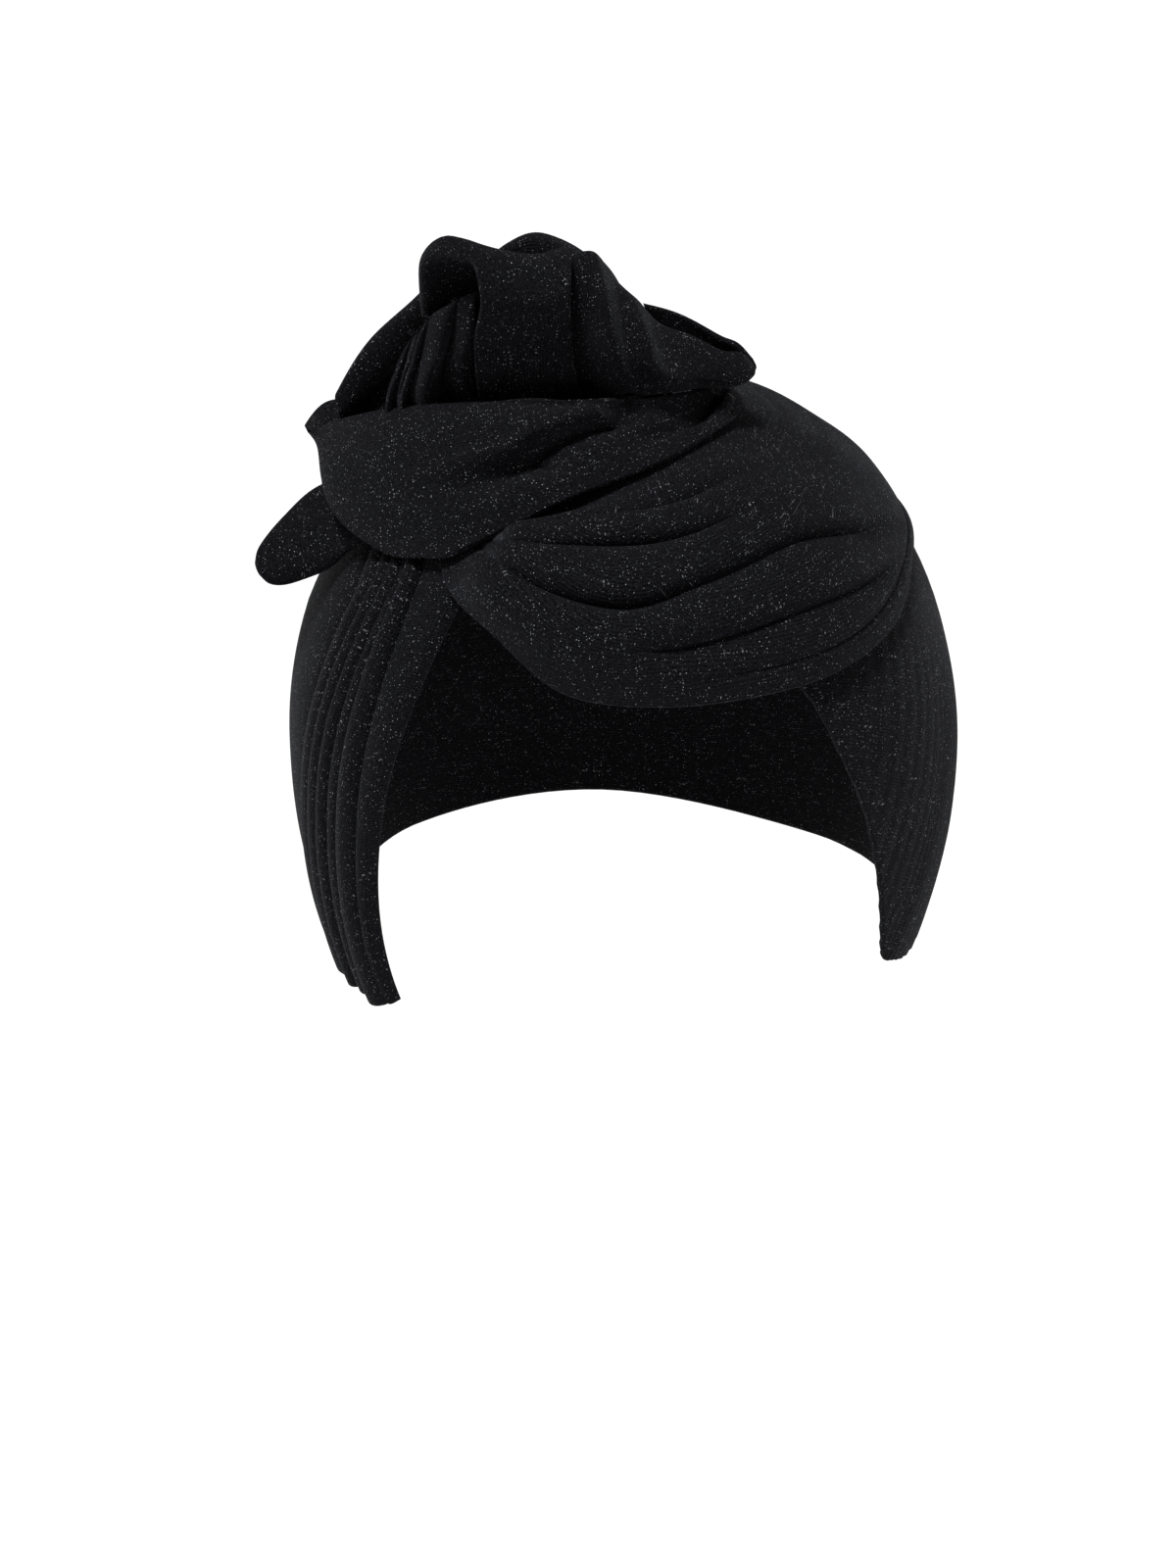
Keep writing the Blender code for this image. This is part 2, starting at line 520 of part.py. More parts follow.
def make_left_tail():
    """Flat sleeve, open at its hidden root and rounded shut at its tip."""
    rows = spline(LEFT_TAIL_SECTIONS, np.linspace(0.0, 1.0, LEFT_TAIL_ROWS + 1), even=True)
    wall = KNOT_WALL / RISE
    inset = np.array((wall * LEFT_TAIL_INSET, 0.0, 0.0))
    outer = [tail_section(row[:3], row[3], row[4], row[5]) for row in rows]
    inner = [tail_section(row[:3] + inset, row[3] - wall, row[4] - wall, row[5]) for row in rows]
    tip = rows[-1, :3] + LEFT_TAIL_TIP
    outer.append(np.broadcast_to(tip, outer[0].shape))
    inner.append(np.broadcast_to(tip + 2 * inset, outer[0].shape))
    return shell("left_tail", on_knot(outer), on_knot(inner))


def main():
    for piece in list(bpy.data.objects):
        bpy.data.objects.remove(piece)
    make_cap()
    make_front_drape()
    make_wrap_band()
    make_front_loop()
    make_inner_folds()
    make_left_panel()
    make_back_loop()
    make_right_folds()
    make_right_tail()
    make_left_tail()


main()
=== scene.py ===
"""Looks of the turban headwrap: fine jersey cloth over the fixed frame.

Units are metres, +Z is up and the face opening looks along -Y, as in the frame. The origin is the
inside top of the crown. Directions on the head are (turn, fall) in degrees: turn goes round the
leaning crown axis from the forehead towards +X, and fall goes down from that axis. Points of the
rosette are (side, back, rise) as shares of REACH: side runs to +X, back runs up the slope to the
rear, and rise stands off the head.
"""

import bpy
import numpy as np
from mathutils import Matrix, Vector, noise


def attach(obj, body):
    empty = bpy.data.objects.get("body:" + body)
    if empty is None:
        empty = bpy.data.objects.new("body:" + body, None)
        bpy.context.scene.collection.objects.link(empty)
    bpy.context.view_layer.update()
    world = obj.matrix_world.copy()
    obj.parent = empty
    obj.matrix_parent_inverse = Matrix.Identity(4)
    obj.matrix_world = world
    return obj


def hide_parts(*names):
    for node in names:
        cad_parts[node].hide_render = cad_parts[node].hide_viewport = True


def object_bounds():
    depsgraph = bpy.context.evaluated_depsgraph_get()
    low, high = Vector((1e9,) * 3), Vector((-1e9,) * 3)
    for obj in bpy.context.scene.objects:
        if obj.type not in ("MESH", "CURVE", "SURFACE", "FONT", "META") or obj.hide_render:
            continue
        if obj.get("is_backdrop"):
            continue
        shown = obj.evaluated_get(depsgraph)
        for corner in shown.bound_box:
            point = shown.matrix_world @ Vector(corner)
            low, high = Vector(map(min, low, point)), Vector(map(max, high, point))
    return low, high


# Head that the wrap is made for, measured from its centre
HEAD_HALF_WIDTH = 0.0780
HEAD_FRONT = 0.085
HEAD_BACK = 0.0955
HEAD_CROWN = 0.0805
HEAD_DROP = 0.117
HEAD_ROUNDNESS = 2.1
CROWN_LEAN = 30.0

# Cloth
CAP_WALL = 0.0015
DRAPE_WALL = 0.0015
KNOT_WALL = 0.0015
LAYER_GAP = 0.00065
DRAPE_LIFT = CAP_WALL + LAYER_GAP
KNOT_LIFT = CAP_WALL + LAYER_GAP
CAP_SLACK = 0.0028
FOLD_HEIGHT = 0.0080

# Rosette: where its middle stands on the head, and how far it reaches
KNOT_TURN = -30.0
KNOT_FALL = 56.0
REACH = 0.050

# Camera: what it looks at, from where, and its lens on a 36 mm frame 1600 pixels high
CAMERA_TARGET = (-0.0082, 0.0, -0.0197 - HEAD_CROWN)
CAMERA_TURN = -2.8
CAMERA_RISE = 25.0
CAMERA_DISTANCE = 0.548
CAMERA_ROLL = 0.95
CAMERA_LENS = 49.5
CAMERA_FRAME = 36.0

FLOOR_DROP = 1.50
FLOOR_HALF = 20.0

# Cap lines: turn where a line leaves the rosette's foot, turn and fall where it meets the rim,
# and how loosely the cloth hangs there, as a share of CAP_SLACK
CAP_FOOT_FALL = 75.0
CAP_LINES = (
    (-27, -71, 140.5, 0.0),
    (-36, -76.5, 139, 0.0),
    (-45, -82, 137, 0.0),
    (-54, -88.5, 134, 0.0),
    (-67, -99, 128, 0.0),
    (-88, -118, 119, 0.1),
    (-125, -147, 103, 0.3),
    (-175, -180, 96, 0.4),
    (-225, -216, 105, 0.5),
    (-258, -250, 120, 0.6),
    (-280, -278, 131, 0.7),
    (-296, -293, 133.5, 0.7),
    (-304, -301, 132, 0.55),
    (-315, -314, 120, 0.25),
    (-328, -328, 104, 0.0),
    (-340, -340, 91, 0.0),
    (-356, -356, 91, 0.0),
    (-373, -373, 87.5, 0.0),
    (-387, -386, 78, 0.0),
)
CAP_PLEATED_LINES = 5
# How late a line turns on its way down, and the share of the way over which the slack comes in
CAP_LEAN_EASE = 1.25
CAP_SLACK_REACH = 0.67
# Creases between the pleats: share of the pleated stretch where each leaves the rosette and where it
# meets the rim, and the height of the pleat before it
CAP_CREASES = (
    (0.000, 0.00, 0.0),
    (0.190, 0.03, 0.0014),
    (0.240, 0.27, 0.0030),
    (0.275, 0.42, 0.0020),
    (0.320, 0.56, 0.0028),
    (0.380, 0.73, 0.0028),
    (0.500, 0.87, 0.0022),
    (1.000, 1.00, 0.0016),
)
# Groove at each crease, each pleat's form, and the fall from the crown's axis where the pleats come in
CAP_CREASE_WIDTH = 0.014
CAP_CREASE_DEPTH = 0.0013
PLEAT_LEAN = 0.8
PLEAT_FULLNESS = 0.8
CAP_PLEAT_START = 63.0
CAP_PLEAT_RISE = 11.0
# Plain side of the cap: where it starts, as a share of the pleated stretch, how fast it comes in
# across the cap, how fast its wrinkles and its ribs come in on the way down, and the ribs
PLAIN_START = 1.2
PLAIN_RISE = 2
PLAIN_WRINKLE_RISE = 2
PLAIN_RIB_RISE = 3
PLAIN_RIB_COUNT = 420
PLAIN_RIB_HEIGHT = 0.00018
# Grid of the cap: columns in each pleat and on the plain side, rows above its foot and below it,
# and the lengths that place its edge steps
PLEAT_COLUMNS = 30
PLEAT_EDGE_CROWDING = 1.6
PLAIN_COLUMNS = 150
DOME_ROWS = 25
SKIRT_ROWS = 100
CAP_ROUND = 1.2
SKIRT_LENGTH = 0.09

# Drape lines from the rosette's foot round the crown: turn and fall of each point
HEM = ((-32, 72), (-29.5, 77), (-20, 86), (-11, 94), (1, 96), (13, 94.8), (26, 91), (39, 83), (51, 70),
       (75, 56), (115, 48), (168, 45), (-143, 46), (-110, 49), (-84, 54), (-66, 52))
CREASE_SIXTH = ((-29.5, 71), (-25, 76.5), (-16, 84), (-4, 89.5), (8, 87.7), (20, 83.5), (35, 77),
                (50, 67.5), (75, 52.5), (112, 40), (168, 36), (-140, 38), (-108, 43), (-84, 50), (-65, 50))
CREASE_DEEP = ((-27, 70), (-21, 75.5), (-12, 82), (-3, 84), (8, 80), (22, 73), (37, 69), (54, 61),
               (75, 47), (110, 31), (165, 27), (-135, 30), (-105, 38), (-84, 46), (-64, 48))
CREASE_SHORT = ((-25.5, 69.5), (-19.5, 74), (-8, 75.3), (5, 74), (20, 67), (36, 57), (52, 45), (72, 32),
                (105, 20), (165, 15), (-125, 20), (-95, 32), (-78, 43), (-63, 46))
CREASE_MIDDLE = ((-25, 69), (-19, 72.3), (-8, 71.5), (4, 68), (16, 62), (31, 51), (45, 39), (58, 26),
                 (75, 12), (-110, 5), (-85, 20), (-75, 34), (-61, 44))
CREASE_UPPER = ((-26, 68.5), (-18, 69.8), (-12, 68.3), (-3, 62.5), (9, 55.5), (22, 47.5), (33, 38),
                (38, 27), (22, 17), (-25, 13), (-60, 24), (-66, 35), (-59, 42))
UNDER_KNOT = ((-28, 67.5), (-19, 66.5), (-8, 62), (5, 56), (16, 48), (23, 39), (18, 32), (0, 28),
              (-28, 30), (-46, 35), (-55, 39))
DRAPE_LINES = (HEM, CREASE_SIXTH, CREASE_DEEP, CREASE_SHORT, CREASE_MIDDLE, CREASE_UPPER, UNDER_KNOT)
# Creases between the folds: share of the line where each starts, where it ends, and its depth
DRAPE_CREASES = (
    (0.00, 0.00, 0.0),
    (0.12, 0.24, 0.90),
    (0.00, 0.25, 1.0),
    (0.00, 0.13, 1.00),
    (0.00, 0.18, 1.00),
    (0.00, 0.07, 0.5),
    (0.00, 0.00, 0.0),
)
# Height of the folds across the drape, at each line, and along it, at even steps
DRAPE_CREST = (0.3, 0.95, 1.0, 0.9, 0.65, 0.0, 0.0)
DRAPE_SWELL = (1.4, 1.45, 1.05, 0.50, 0.15, 0.05, 0.1, 0.15, 0.1, 0.1, 0.0)
# Shares of the drape's length where its folds start to rise and where they stand full
DRAPE_TUCKED = 0.01
DRAPE_RISEN = 0.06
# Creases of the drape: how much narrower a crease's upper side is, how sharply each side rises, and the
# shares of the drape's length over which a crease starts and ends. FOLD_LEAN is how far a fold leans
# over the crease below it
CREASE_NEARNESS = 1.25
CREASE_UPPER_RISE = 0.9
CREASE_LOWER_RISE = 0.7
CREASE_START_FADE = 0.04
CREASE_END_FADE = 0.09
FOLD_LEAN = 0.0036
# Share of the drape's length where its broad wrinkles start, and over which they grow full
DRAPE_WRINKLE_START = 0.16
DRAPE_WRINKLE_RISE = 0.12
# Stitched groove: its distance from the hem, width and depth, the shares of the drape's length
# between which it shows, and the share over which it fades
HEM_GROOVE_PLACE = 0.0062
HEM_GROOVE_WIDTH = 0.0010
HEM_GROOVE_DEPTH = 0.0015
HEM_GROOVE_START = 0.14
HEM_GROOVE_END = 0.60
HEM_GROOVE_FADE = 0.06

# Wrap band: lines from its hidden end on the crown round to the folded edge and back inside
BAND_LINES = (
    ((0.98, 1.00, 0.07), (1.20, 0.80, 0.09), (1.29, 0.48, 0.105), (1.24, 0.16, 0.11), (1.06, -0.10, 0.11),
     (0.80, -0.34, 0.13), (0.44, -0.50, 0.15), (0.08, -0.58, 0.14), (-0.20, -0.56, 0.12),
     (-0.26, -0.51, 0.10)),
    ((0.97, 0.96, 0.10), (1.17, 0.77, 0.11), (1.25, 0.47, 0.13), (1.20, 0.20, 0.135), (1.05, -0.05, 0.145),
     (0.78, -0.26, 0.16), (0.42, -0.40, 0.21), (0.04, -0.45, 0.23), (-0.27, -0.42, 0.18),
     (-0.46, -0.34, 0.09), (-0.44, -0.27, 0.07)),
    ((0.97, 0.92, 0.11), (1.15, 0.74, 0.12), (1.22, 0.46, 0.13), (1.18, 0.21, 0.135), (1.05, 0.00, 0.145),
     (0.77, -0.21, 0.19), (0.40, -0.31, 0.29), (-0.04, -0.30, 0.33), (-0.38, -0.20, 0.30),
     (-0.67, -0.08, 0.21), (-0.66, 0.04, 0.17)),
    ((0.98, 0.89, 0.11), (1.12, 0.70, 0.11), (1.18, 0.45, 0.11), (1.15, 0.24, 0.11), (1.04, 0.06, 0.14),
     (0.78, -0.14, 0.23), (0.42, -0.22, 0.35), (-0.08, -0.16, 0.40), (-0.46, 0.00, 0.38),
     (-0.72, 0.18, 0.33), (-0.66, 0.28, 0.27)),
    ((1.00, 0.85, 0.10), (1.09, 0.66, 0.10), (1.15, 0.45, 0.115), (1.16, 0.29, 0.14), (1.08, 0.17, 0.175),
     (0.96, 0.07, 0.215), (0.81, -0.05, 0.26), (0.66, -0.11, 0.31), (0.50, -0.14, 0.35),
     (0.16, -0.06, 0.38), (-0.22, 0.12, 0.41), (-0.56, 0.34, 0.43), (-0.82, 0.60, 0.44),
     (-0.70, 0.70, 0.44), (-0.58, 0.73, 0.36)),
)
# Crease in the band: its places along and across it, and its depth as a share of the deepest
BAND_CREASE = ((0.34, 1.00, 0.25), (0.46, 0.68, 1.0), (0.65, 0.34, 1.0), (0.82, 0.30, 0.0))
BAND_CREASE_DEPTH = 0.0056
BAND_CREASE_WIDTH = 0.07
BAND_GROOVE_SHAPE = 1.5
# Roll above the crease: its height as a share of the depth, and its distance in widths of the crease
BAND_ROLL_SHARE = 0.3
BAND_ROLL_PLACE = 1.8
# Broad hollow in the band, by the same rule
BAND_HOLLOW = ((0.20, 0.80, 0.3), (0.32, 0.62, 1.0), (0.44, 0.40, 0.8), (0.56, 0.18, 0.0))
BAND_HOLLOW_DEPTH = 0.0028
BAND_HOLLOW_WIDTH = 0.20

# Front loop: lines up the front panel, over the ridge and down the back
FRONT_LOOP_LINES = (
    ((0.08, 0.14, 0.00), (0.13, 0.07, 0.30), (0.24, 0.03, 0.60), (0.38, -0.04, 0.86),
     (0.40, 0.06, 1.02), (0.30, 0.20, 1.06), (0.17, 0.31, 0.98), (0.07, 0.35, 0.80),
     (0.00, 0.38, 0.60), (0.00, 0.38, 0.00)),
    ((0.32, 0.13, 0.00), (0.34, 0.04, 0.30), (0.46, 0.00, 0.58), (0.58, -0.03, 0.80),
     (0.60, 0.07, 0.89), (0.56, 0.21, 0.885), (0.48, 0.32, 0.74), (0.40, 0.37, 0.50),
     (0.36, 0.38, 0.00)),
    ((0.54, 0.14, 0.00), (0.57, 0.02, 0.28), (0.65, -0.01, 0.57), (0.74, -0.03, 0.81),
     (0.78, 0.08, 0.895), (0.76, 0.22, 0.88), (0.69, 0.33, 0.71), (0.62, 0.36, 0.46),
     (0.58, 0.36, 0.00)),
)

# Rolled lip of the front loop: shares of its length where it starts and ends, its width and height
LIP_START = 0.36
LIP_END = 0.90
LIP_EASE = 0.10
LIP_WIDTH = 0.0050
LIP_HEIGHT = 0.0034

# Inner folds: lines up the left side, the middle and the right side of the fluted wall
INNER_FOLD_LINES = (
    ((-0.28, 0.26, 0.00), (-0.33, 0.20, 0.22), (-0.30, 0.18, 0.38), (-0.18, 0.20, 0.54),
     (-0.08, 0.24, 0.61), (-0.04, 0.30, 0.56)),
    ((-0.10, 0.24, 0.00), (-0.14, 0.16, 0.22), (-0.10, 0.14, 0.42), (0.03, 0.14, 0.60), (0.13, 0.19, 0.73),
     (0.16, 0.26, 0.68)),
    ((0.12, 0.25, 0.00), (0.14, 0.20, 0.22), (0.17, 0.19, 0.42), (0.27, 0.17, 0.64), (0.34, 0.17, 0.78),
     (0.37, 0.23, 0.73)),
)
# Creases between the inner folds, as shares of their width, and each fold's height
INNER_FOLD_CREASES = ((0.00, 0.0), (0.26, 0.0036), (0.48, 0.0040), (0.82, 0.0054), (1.12, 0.0054))
INNER_FOLD_BOW = 0.10
INNER_FOLD_LEAN = 1.3
INNER_FOLD_FULLNESS = 0.75
# Share of their height that the folds start with at the foot, and how fast they rise and end
INNER_FOLD_START = 0.4
INNER_FOLD_RISE = 4
INNER_FOLD_END = 3

# Left panel: lines from its front foot up to the ridge and down its back
LEFT_PANEL_LINES = (
    ((-0.62, 0.36, 0.00), (-0.60, 0.40, 0.30), (-0.56, 0.46, 0.50), (-0.54, 0.54, 0.46),
     (-0.58, 0.66, 0.24), (-0.62, 0.74, 0.08)),
    ((-0.36, 0.36, 0.00), (-0.34, 0.40, 0.34), (-0.30, 0.48, 0.62), (-0.28, 0.58, 0.58),
     (-0.32, 0.74, 0.30), (-0.36, 0.82, 0.08)),
    ((-0.12, 0.44, 0.00), (-0.10, 0.44, 0.36), (-0.04, 0.46, 0.70), (-0.02, 0.58, 0.68),
     (-0.06, 0.76, 0.34), (-0.08, 0.84, 0.08)),
    ((0.08, 0.48, 0.00), (0.10, 0.46, 0.40), (0.16, 0.44, 0.80), (0.17, 0.54, 0.78),
     (0.14, 0.72, 0.40), (0.12, 0.82, 0.08)),
)

# Tucks at the panel's foot: shares across it where each starts and ends, its slope, width and depth
PANEL_TUCKS = (
    (-0.40, 0.70, -0.05, 0.035, 0.0045),
    (0.10, 1.05, -0.09, 0.022, 0.0030),
)
# Share of the panel's length where each tuck starts
PANEL_TUCK_START = 0.33

# Back loop: lines from its sunken front edge, over its rim and behind it, each from its left foot to
# its right foot
BACK_LOOP_LINES = (
    ((0.25, 0.42, 0.00), (0.26, 0.39, 0.42), (0.33, 0.37, 0.70), (0.48, 0.35, 0.785),
     (0.62, 0.35, 0.805), (0.75, 0.36, 0.72), (0.85, 0.39, 0.50), (0.90, 0.42, 0.00)),
    ((0.24, 0.46, 0.00), (0.25, 0.44, 0.44), (0.32, 0.44, 0.75), (0.48, 0.42, 0.85),
     (0.62, 0.42, 0.87), (0.75, 0.42, 0.77), (0.85, 0.44, 0.54), (0.90, 0.46, 0.00)),
    ((0.20, 0.62, 0.04), (0.22, 0.60, 0.40), (0.32, 0.58, 0.68), (0.48, 0.58, 0.78),
     (0.63, 0.58, 0.80), (0.77, 0.58, 0.69), (0.87, 0.60, 0.45), (0.92, 0.62, 0.04)),
    ((0.22, 0.76, 0.07), (0.26, 0.74, 0.28), (0.36, 0.74, 0.46), (0.50, 0.74, 0.52),
     (0.63, 0.74, 0.52), (0.76, 0.74, 0.44), (0.84, 0.76, 0.28), (0.88, 0.78, 0.07)),
    ((0.30, 0.84, 0.07), (0.36, 0.85, 0.08), (0.44, 0.86, 0.09), (0.53, 0.87, 0.09),
     (0.62, 0.87, 0.09), (0.70, 0.86, 0.09), (0.77, 0.85, 0.08), (0.82, 0.84, 0.07)),
)

# Right folds: lines from behind the ridge, over it and down to the lower edge, left to right
RIGHT_FOLD_LINES = (
    ((0.70, 0.28, 0.70), (0.72, 0.23, 0.83), (0.68, 0.12, 0.77), (0.61, 0.10, 0.48),
     (0.56, 0.12, 0.26), (0.54, 0.20, 0.00)),
    ((0.87, 0.31, 0.74), (0.87, 0.17, 0.87), (0.86, -0.01, 0.78), (0.80, -0.09, 0.52),
     (0.76, -0.02, 0.26)),
    ((0.92, 0.30, 0.58), (0.91, 0.17, 0.72), (0.89, 0.05, 0.63), (0.86, -0.05, 0.44),
     (0.84, 0.00, 0.24)),
    ((0.98, 0.30, 0.48), (0.96, 0.16, 0.64), (0.98, 0.01, 0.55), (0.96, -0.05, 0.40),
     (0.94, 0.02, 0.24)),
    ((1.03, 0.28, 0.38), (1.02, 0.20, 0.52), (1.01, 0.08, 0.45), (1.02, 0.00, 0.34),
     (1.02, 0.05, 0.24)),
    ((1.13, 0.28, 0.36), (1.13, 0.24, 0.44), (1.13, 0.14, 0.39), (1.13, 0.08, 0.30),
     (1.13, 0.12, 0.23)),
    ((1.26, 0.25, 0.36), (1.27, 0.21, 0.39), (1.28, 0.15, 0.35), (1.27, 0.12, 0.28),
     (1.24, 0.16, 0.23)),
    ((1.34, 0.26, 0.36), (1.35, 0.24, 0.385), (1.37, 0.19, 0.35), (1.35, 0.17, 0.285),
     (1.31, 0.20, 0.245)),
    ((1.38, 0.27, 0.34), (1.40, 0.25, 0.345), (1.41, 0.24, 0.325), (1.40, 0.23, 0.30),
     (1.37, 0.24, 0.285)),
)

# Right tail: lines from its root to its tip, down the back wall and forward along the bottom
RIGHT_TAIL_LINES = (
    ((0.96, 0.46, 0.50), (1.13, 0.49, 0.44), (1.29, 0.41, 0.39), (1.37, 0.34, 0.39), (1.41, 0.30, 0.345)),
    ((0.95, 0.46, 0.28), (1.14, 0.46, 0.27), (1.28, 0.39, 0.27), (1.38, 0.32, 0.32), (1.42, 0.29, 0.32)),
    ((0.90, 0.40, 0.013), (0.99, 0.38, 0.15), (1.12, 0.34, 0.18), (1.26, 0.30, 0.205),
     (1.35, 0.29, 0.25), (1.41, 0.28, 0.30)),
    ((0.90, 0.31, 0.013), (0.98, 0.29, 0.16), (1.10, 0.22, 0.19), (1.23, 0.22, 0.20),
     (1.33, 0.25, 0.235), (1.39, 0.27, 0.285)),
)

# Left tail: middle of each section, half width, half thickness as shares of REACH, and tilt
LEFT_TAIL_SECTIONS = (
    (-0.46, 0.06, 0.06, 0.12, 0.05, 0),
    (-0.60, 0.10, 0.08, 0.20, 0.06, 4),
    (-0.73, 0.14, 0.13, 0.25, 0.07, 10),
    (-0.86, 0.085, 0.19, 0.24, 0.08, 16),
    (-1.00, -0.005, 0.26, 0.180, 0.08, 18),
    (-1.085, -0.075, 0.315, 0.140, 0.065, 18),
    (-1.14, -0.12, 0.355, 0.095, 0.05, 18),
    (-1.165, -0.14, 0.375, 0.045, 0.03, 18),
)
# From the last section to the closed tip
LEFT_TAIL_TIP_STEP = (-0.006, -0.005, 0.005)

# Distances from an open edge at which the rounded cloth edge is drawn, and the thinnest the edge
# gets, as a share of the wall
EDGE_STEPS = (0.0, 0.00006, 0.00022, 0.00045, 0.0008)
EDGE_THINNEST = 0.05
ALL_SIDES = ("top", "bottom", "left", "right")
CLOTH_NAME = "cloth_place"

# Grid of each cloth: count of lines and length, across it and along it
DRAPE_GRID = ((150, 0.115), (300, 0.42))
BAND_GRID = ((70, 0.045), (200, 0.20))
FRONT_LOOP_GRID = ((60, 0.025), (150, 0.12))
INNER_FOLD_GRID = ((120, 0.024), (60, 0.04))
LEFT_PANEL_GRID = ((60, 0.037), (90, 0.07))
BACK_LOOP_GRID = ((60, 0.04), (130, 0.10))
RIGHT_FOLD_GRID = ((110, 0.04), (60, 0.03))
RIGHT_TAIL_GRID = ((50, 0.025), (50, 0.025))
LEFT_TAIL_RINGS = 70
LEFT_TAIL_SIDES = 96

# Small wrinkles: length, seed, stretch along each axis and height
CAP_WRINKLES = (0.030, 1, (1.0, 1.0, 2.5), 0.0007)
DRAPE_FINE_WRINKLES = (0.012, 2, (1.6, 1.6, 0.8), 0.00035)
DRAPE_BROAD_WRINKLES = (0.020, 9, (1.8, 1.8, 0.7), 0.0014)
BAND_WRINKLES = (0.014, 3, (2.0, 2.0, 0.9), 0.0006)
FRONT_LOOP_WRINKLES = (0.011, 4, (1.0, 1.0, 1.0), 0.0005)
BACK_LOOP_WRINKLES = (0.011, 6, (1.0, 1.0, 1.0), 0.0006)
RIGHT_FOLD_WRINKLES = (0.011, 7, (1.0, 1.0, 1.0), 0.0006)
RIGHT_TAIL_WRINKLES = (0.011, 8, (1.0, 1.0, 1.0), 0.0006)
SEED_SPACING = 7.31
# Width of the plain margin that wrinkles leave along the edges
DRAPE_MARGIN = 0.01
BAND_MARGIN = 0.008
ROSETTE_MARGIN = 0.006

# Knit: distance between ribs, distance between rows and size of the yarn's grain, and how strongly
# each shows
RIB_PITCH = 0.00068
ROW_PITCH = 0.00052
GRAIN_SIZE = 0.00045
RIB_SHARE = 0.45
ROW_SHARE = 0.25
GRAIN_SHARE = 4.5
WEAVE_SPREAD = 0.9
YARN_DARK = (0.0004, 0.0004, 0.0008, 1.0)
YARN_LIGHT = (0.0078, 0.0079, 0.0097, 1.0)
YARN_ROUGHNESS = 0.80
YARN_SHEEN = (0.80, 0.84, 0.95, 1.0)

# Silver specks: loose ones, one in a cell and more of them in some patches, and ones in the stitches,
# in streaks. A disc is its randomness, then its smallest size and its spread as shares of a cell
SPECK_COLOUR = (0.80, 0.82, 0.87, 1.0)
SPECK_METAL = 0.6
SPECK_SMOOTHNESS = 0.45
SPECK_RELIEF = 0.8
SPARK_CELL = 0.00054
SPARK_DISC = (1.0, 0.12, 0.10)
# Power on each loose speck's random share, which dims most specks and leaves a few bright: painted glint
SPARK_RARITY = 1.6
PATCH_SIZE = 0.010
PATCH_STRENGTH = 1.6
STITCH_DISC = (0.35, 0.14, 0.10)
STITCH_SHARE = 0.38
# Least share of a stitch speck's painted glint
STITCH_LEAST_PAINTED_GLINT = 0.1
STREAK_SIZE = (0.0015, 0.0050, 1.0)
STREAK_LEVEL = 0.60
STREAK_RISE = 6.0

# Light: strength of the even light all round, and each sun with its place, strength and width in degrees
EVEN_LIGHT = 0.15
SUNS = (
    ("key", (-0.34, -0.46, 1.30), 3.4, 16),
    ("left", (-1.0, -0.35, 0.50), 0.35, 25),
    ("right", (1.0, -0.10, 0.45), 0.6, 25),
)


def spline(points, shares, even=False):
    """Smooth values at shares 0 to 1 of the way along the first axis of points."""
    points = np.asarray(points, float)
    if even:
        knots = np.linspace(0.0, 1.0, len(points))
    else:
        steps = np.linalg.norm(np.diff(points, axis=0), axis=-1)
        knots = np.concatenate(([0.0], np.cumsum(steps))) / steps.sum()
    slopes = np.gradient(points, knots, axis=0)
    shares = np.asarray(shares, float)
    first = np.clip(np.searchsorted(knots, shares, side="right") - 1, 0, len(knots) - 2)
    span = knots[first + 1] - knots[first]
    part = (shares - knots[first]) / span
    shape = (-1,) + (1,) * (points.ndim - 1)
    span, part = span.reshape(shape), part.reshape(shape)
    start, end = points[first], points[first + 1]
    leave, arrive = slopes[first] * span, slopes[first + 1] * span
    return (start * (1 + 2 * part) * (1 - part) ** 2 + leave * part * (1 - part) ** 2
            + end * part ** 2 * (3 - 2 * part) - arrive * part ** 2 * (1 - part))


def unit(vectors):
    """Vectors of length one."""
    return vectors / np.maximum(np.linalg.norm(vectors, axis=-1, keepdims=True), 1e-12)


def ease(share):
    """Smooth step from 0 to 1."""
    share = np.clip(share, 0.0, 1.0)
    return share * share * (3 - 2 * share)


def direction(turn, fall):
    """Unit vector from the head's centre, from degrees round and down the leaning crown axis."""
    turn, fall = np.broadcast_arrays(np.radians(turn), np.radians(fall))
    lean = np.radians(CROWN_LEAN)
    forward = -np.sin(fall) * np.cos(turn)
    along = np.cos(fall)
    return np.stack((np.sin(fall) * np.sin(turn),
                     forward * np.cos(lean) + along * np.sin(lean),
                     along * np.cos(lean) - forward * np.sin(lean)), -1)


def on_head(directions, lift):
    """Points that stand off the head by lift, seen from the origin at the top of the crown."""
    directions = unit(directions)
    depth = np.where(directions[..., 1] < 0, HEAD_FRONT, HEAD_BACK)
    height = np.where(directions[..., 2] > 0, HEAD_CROWN, HEAD_DROP)
    axes = np.stack((np.full_like(depth, HEAD_HALF_WIDTH), depth, height), -1)
    radius = (np.abs(directions / axes) ** HEAD_ROUNDNESS).sum(-1) ** (-1 / HEAD_ROUNDNESS)
    surface = directions * radius[..., None]
    slope = np.sign(surface) * np.abs(surface / axes) ** (HEAD_ROUNDNESS - 1) / axes
    points = surface + unit(slope) * np.asarray(lift)[..., None]
    return points - np.array((0.0, 0.0, HEAD_CROWN))


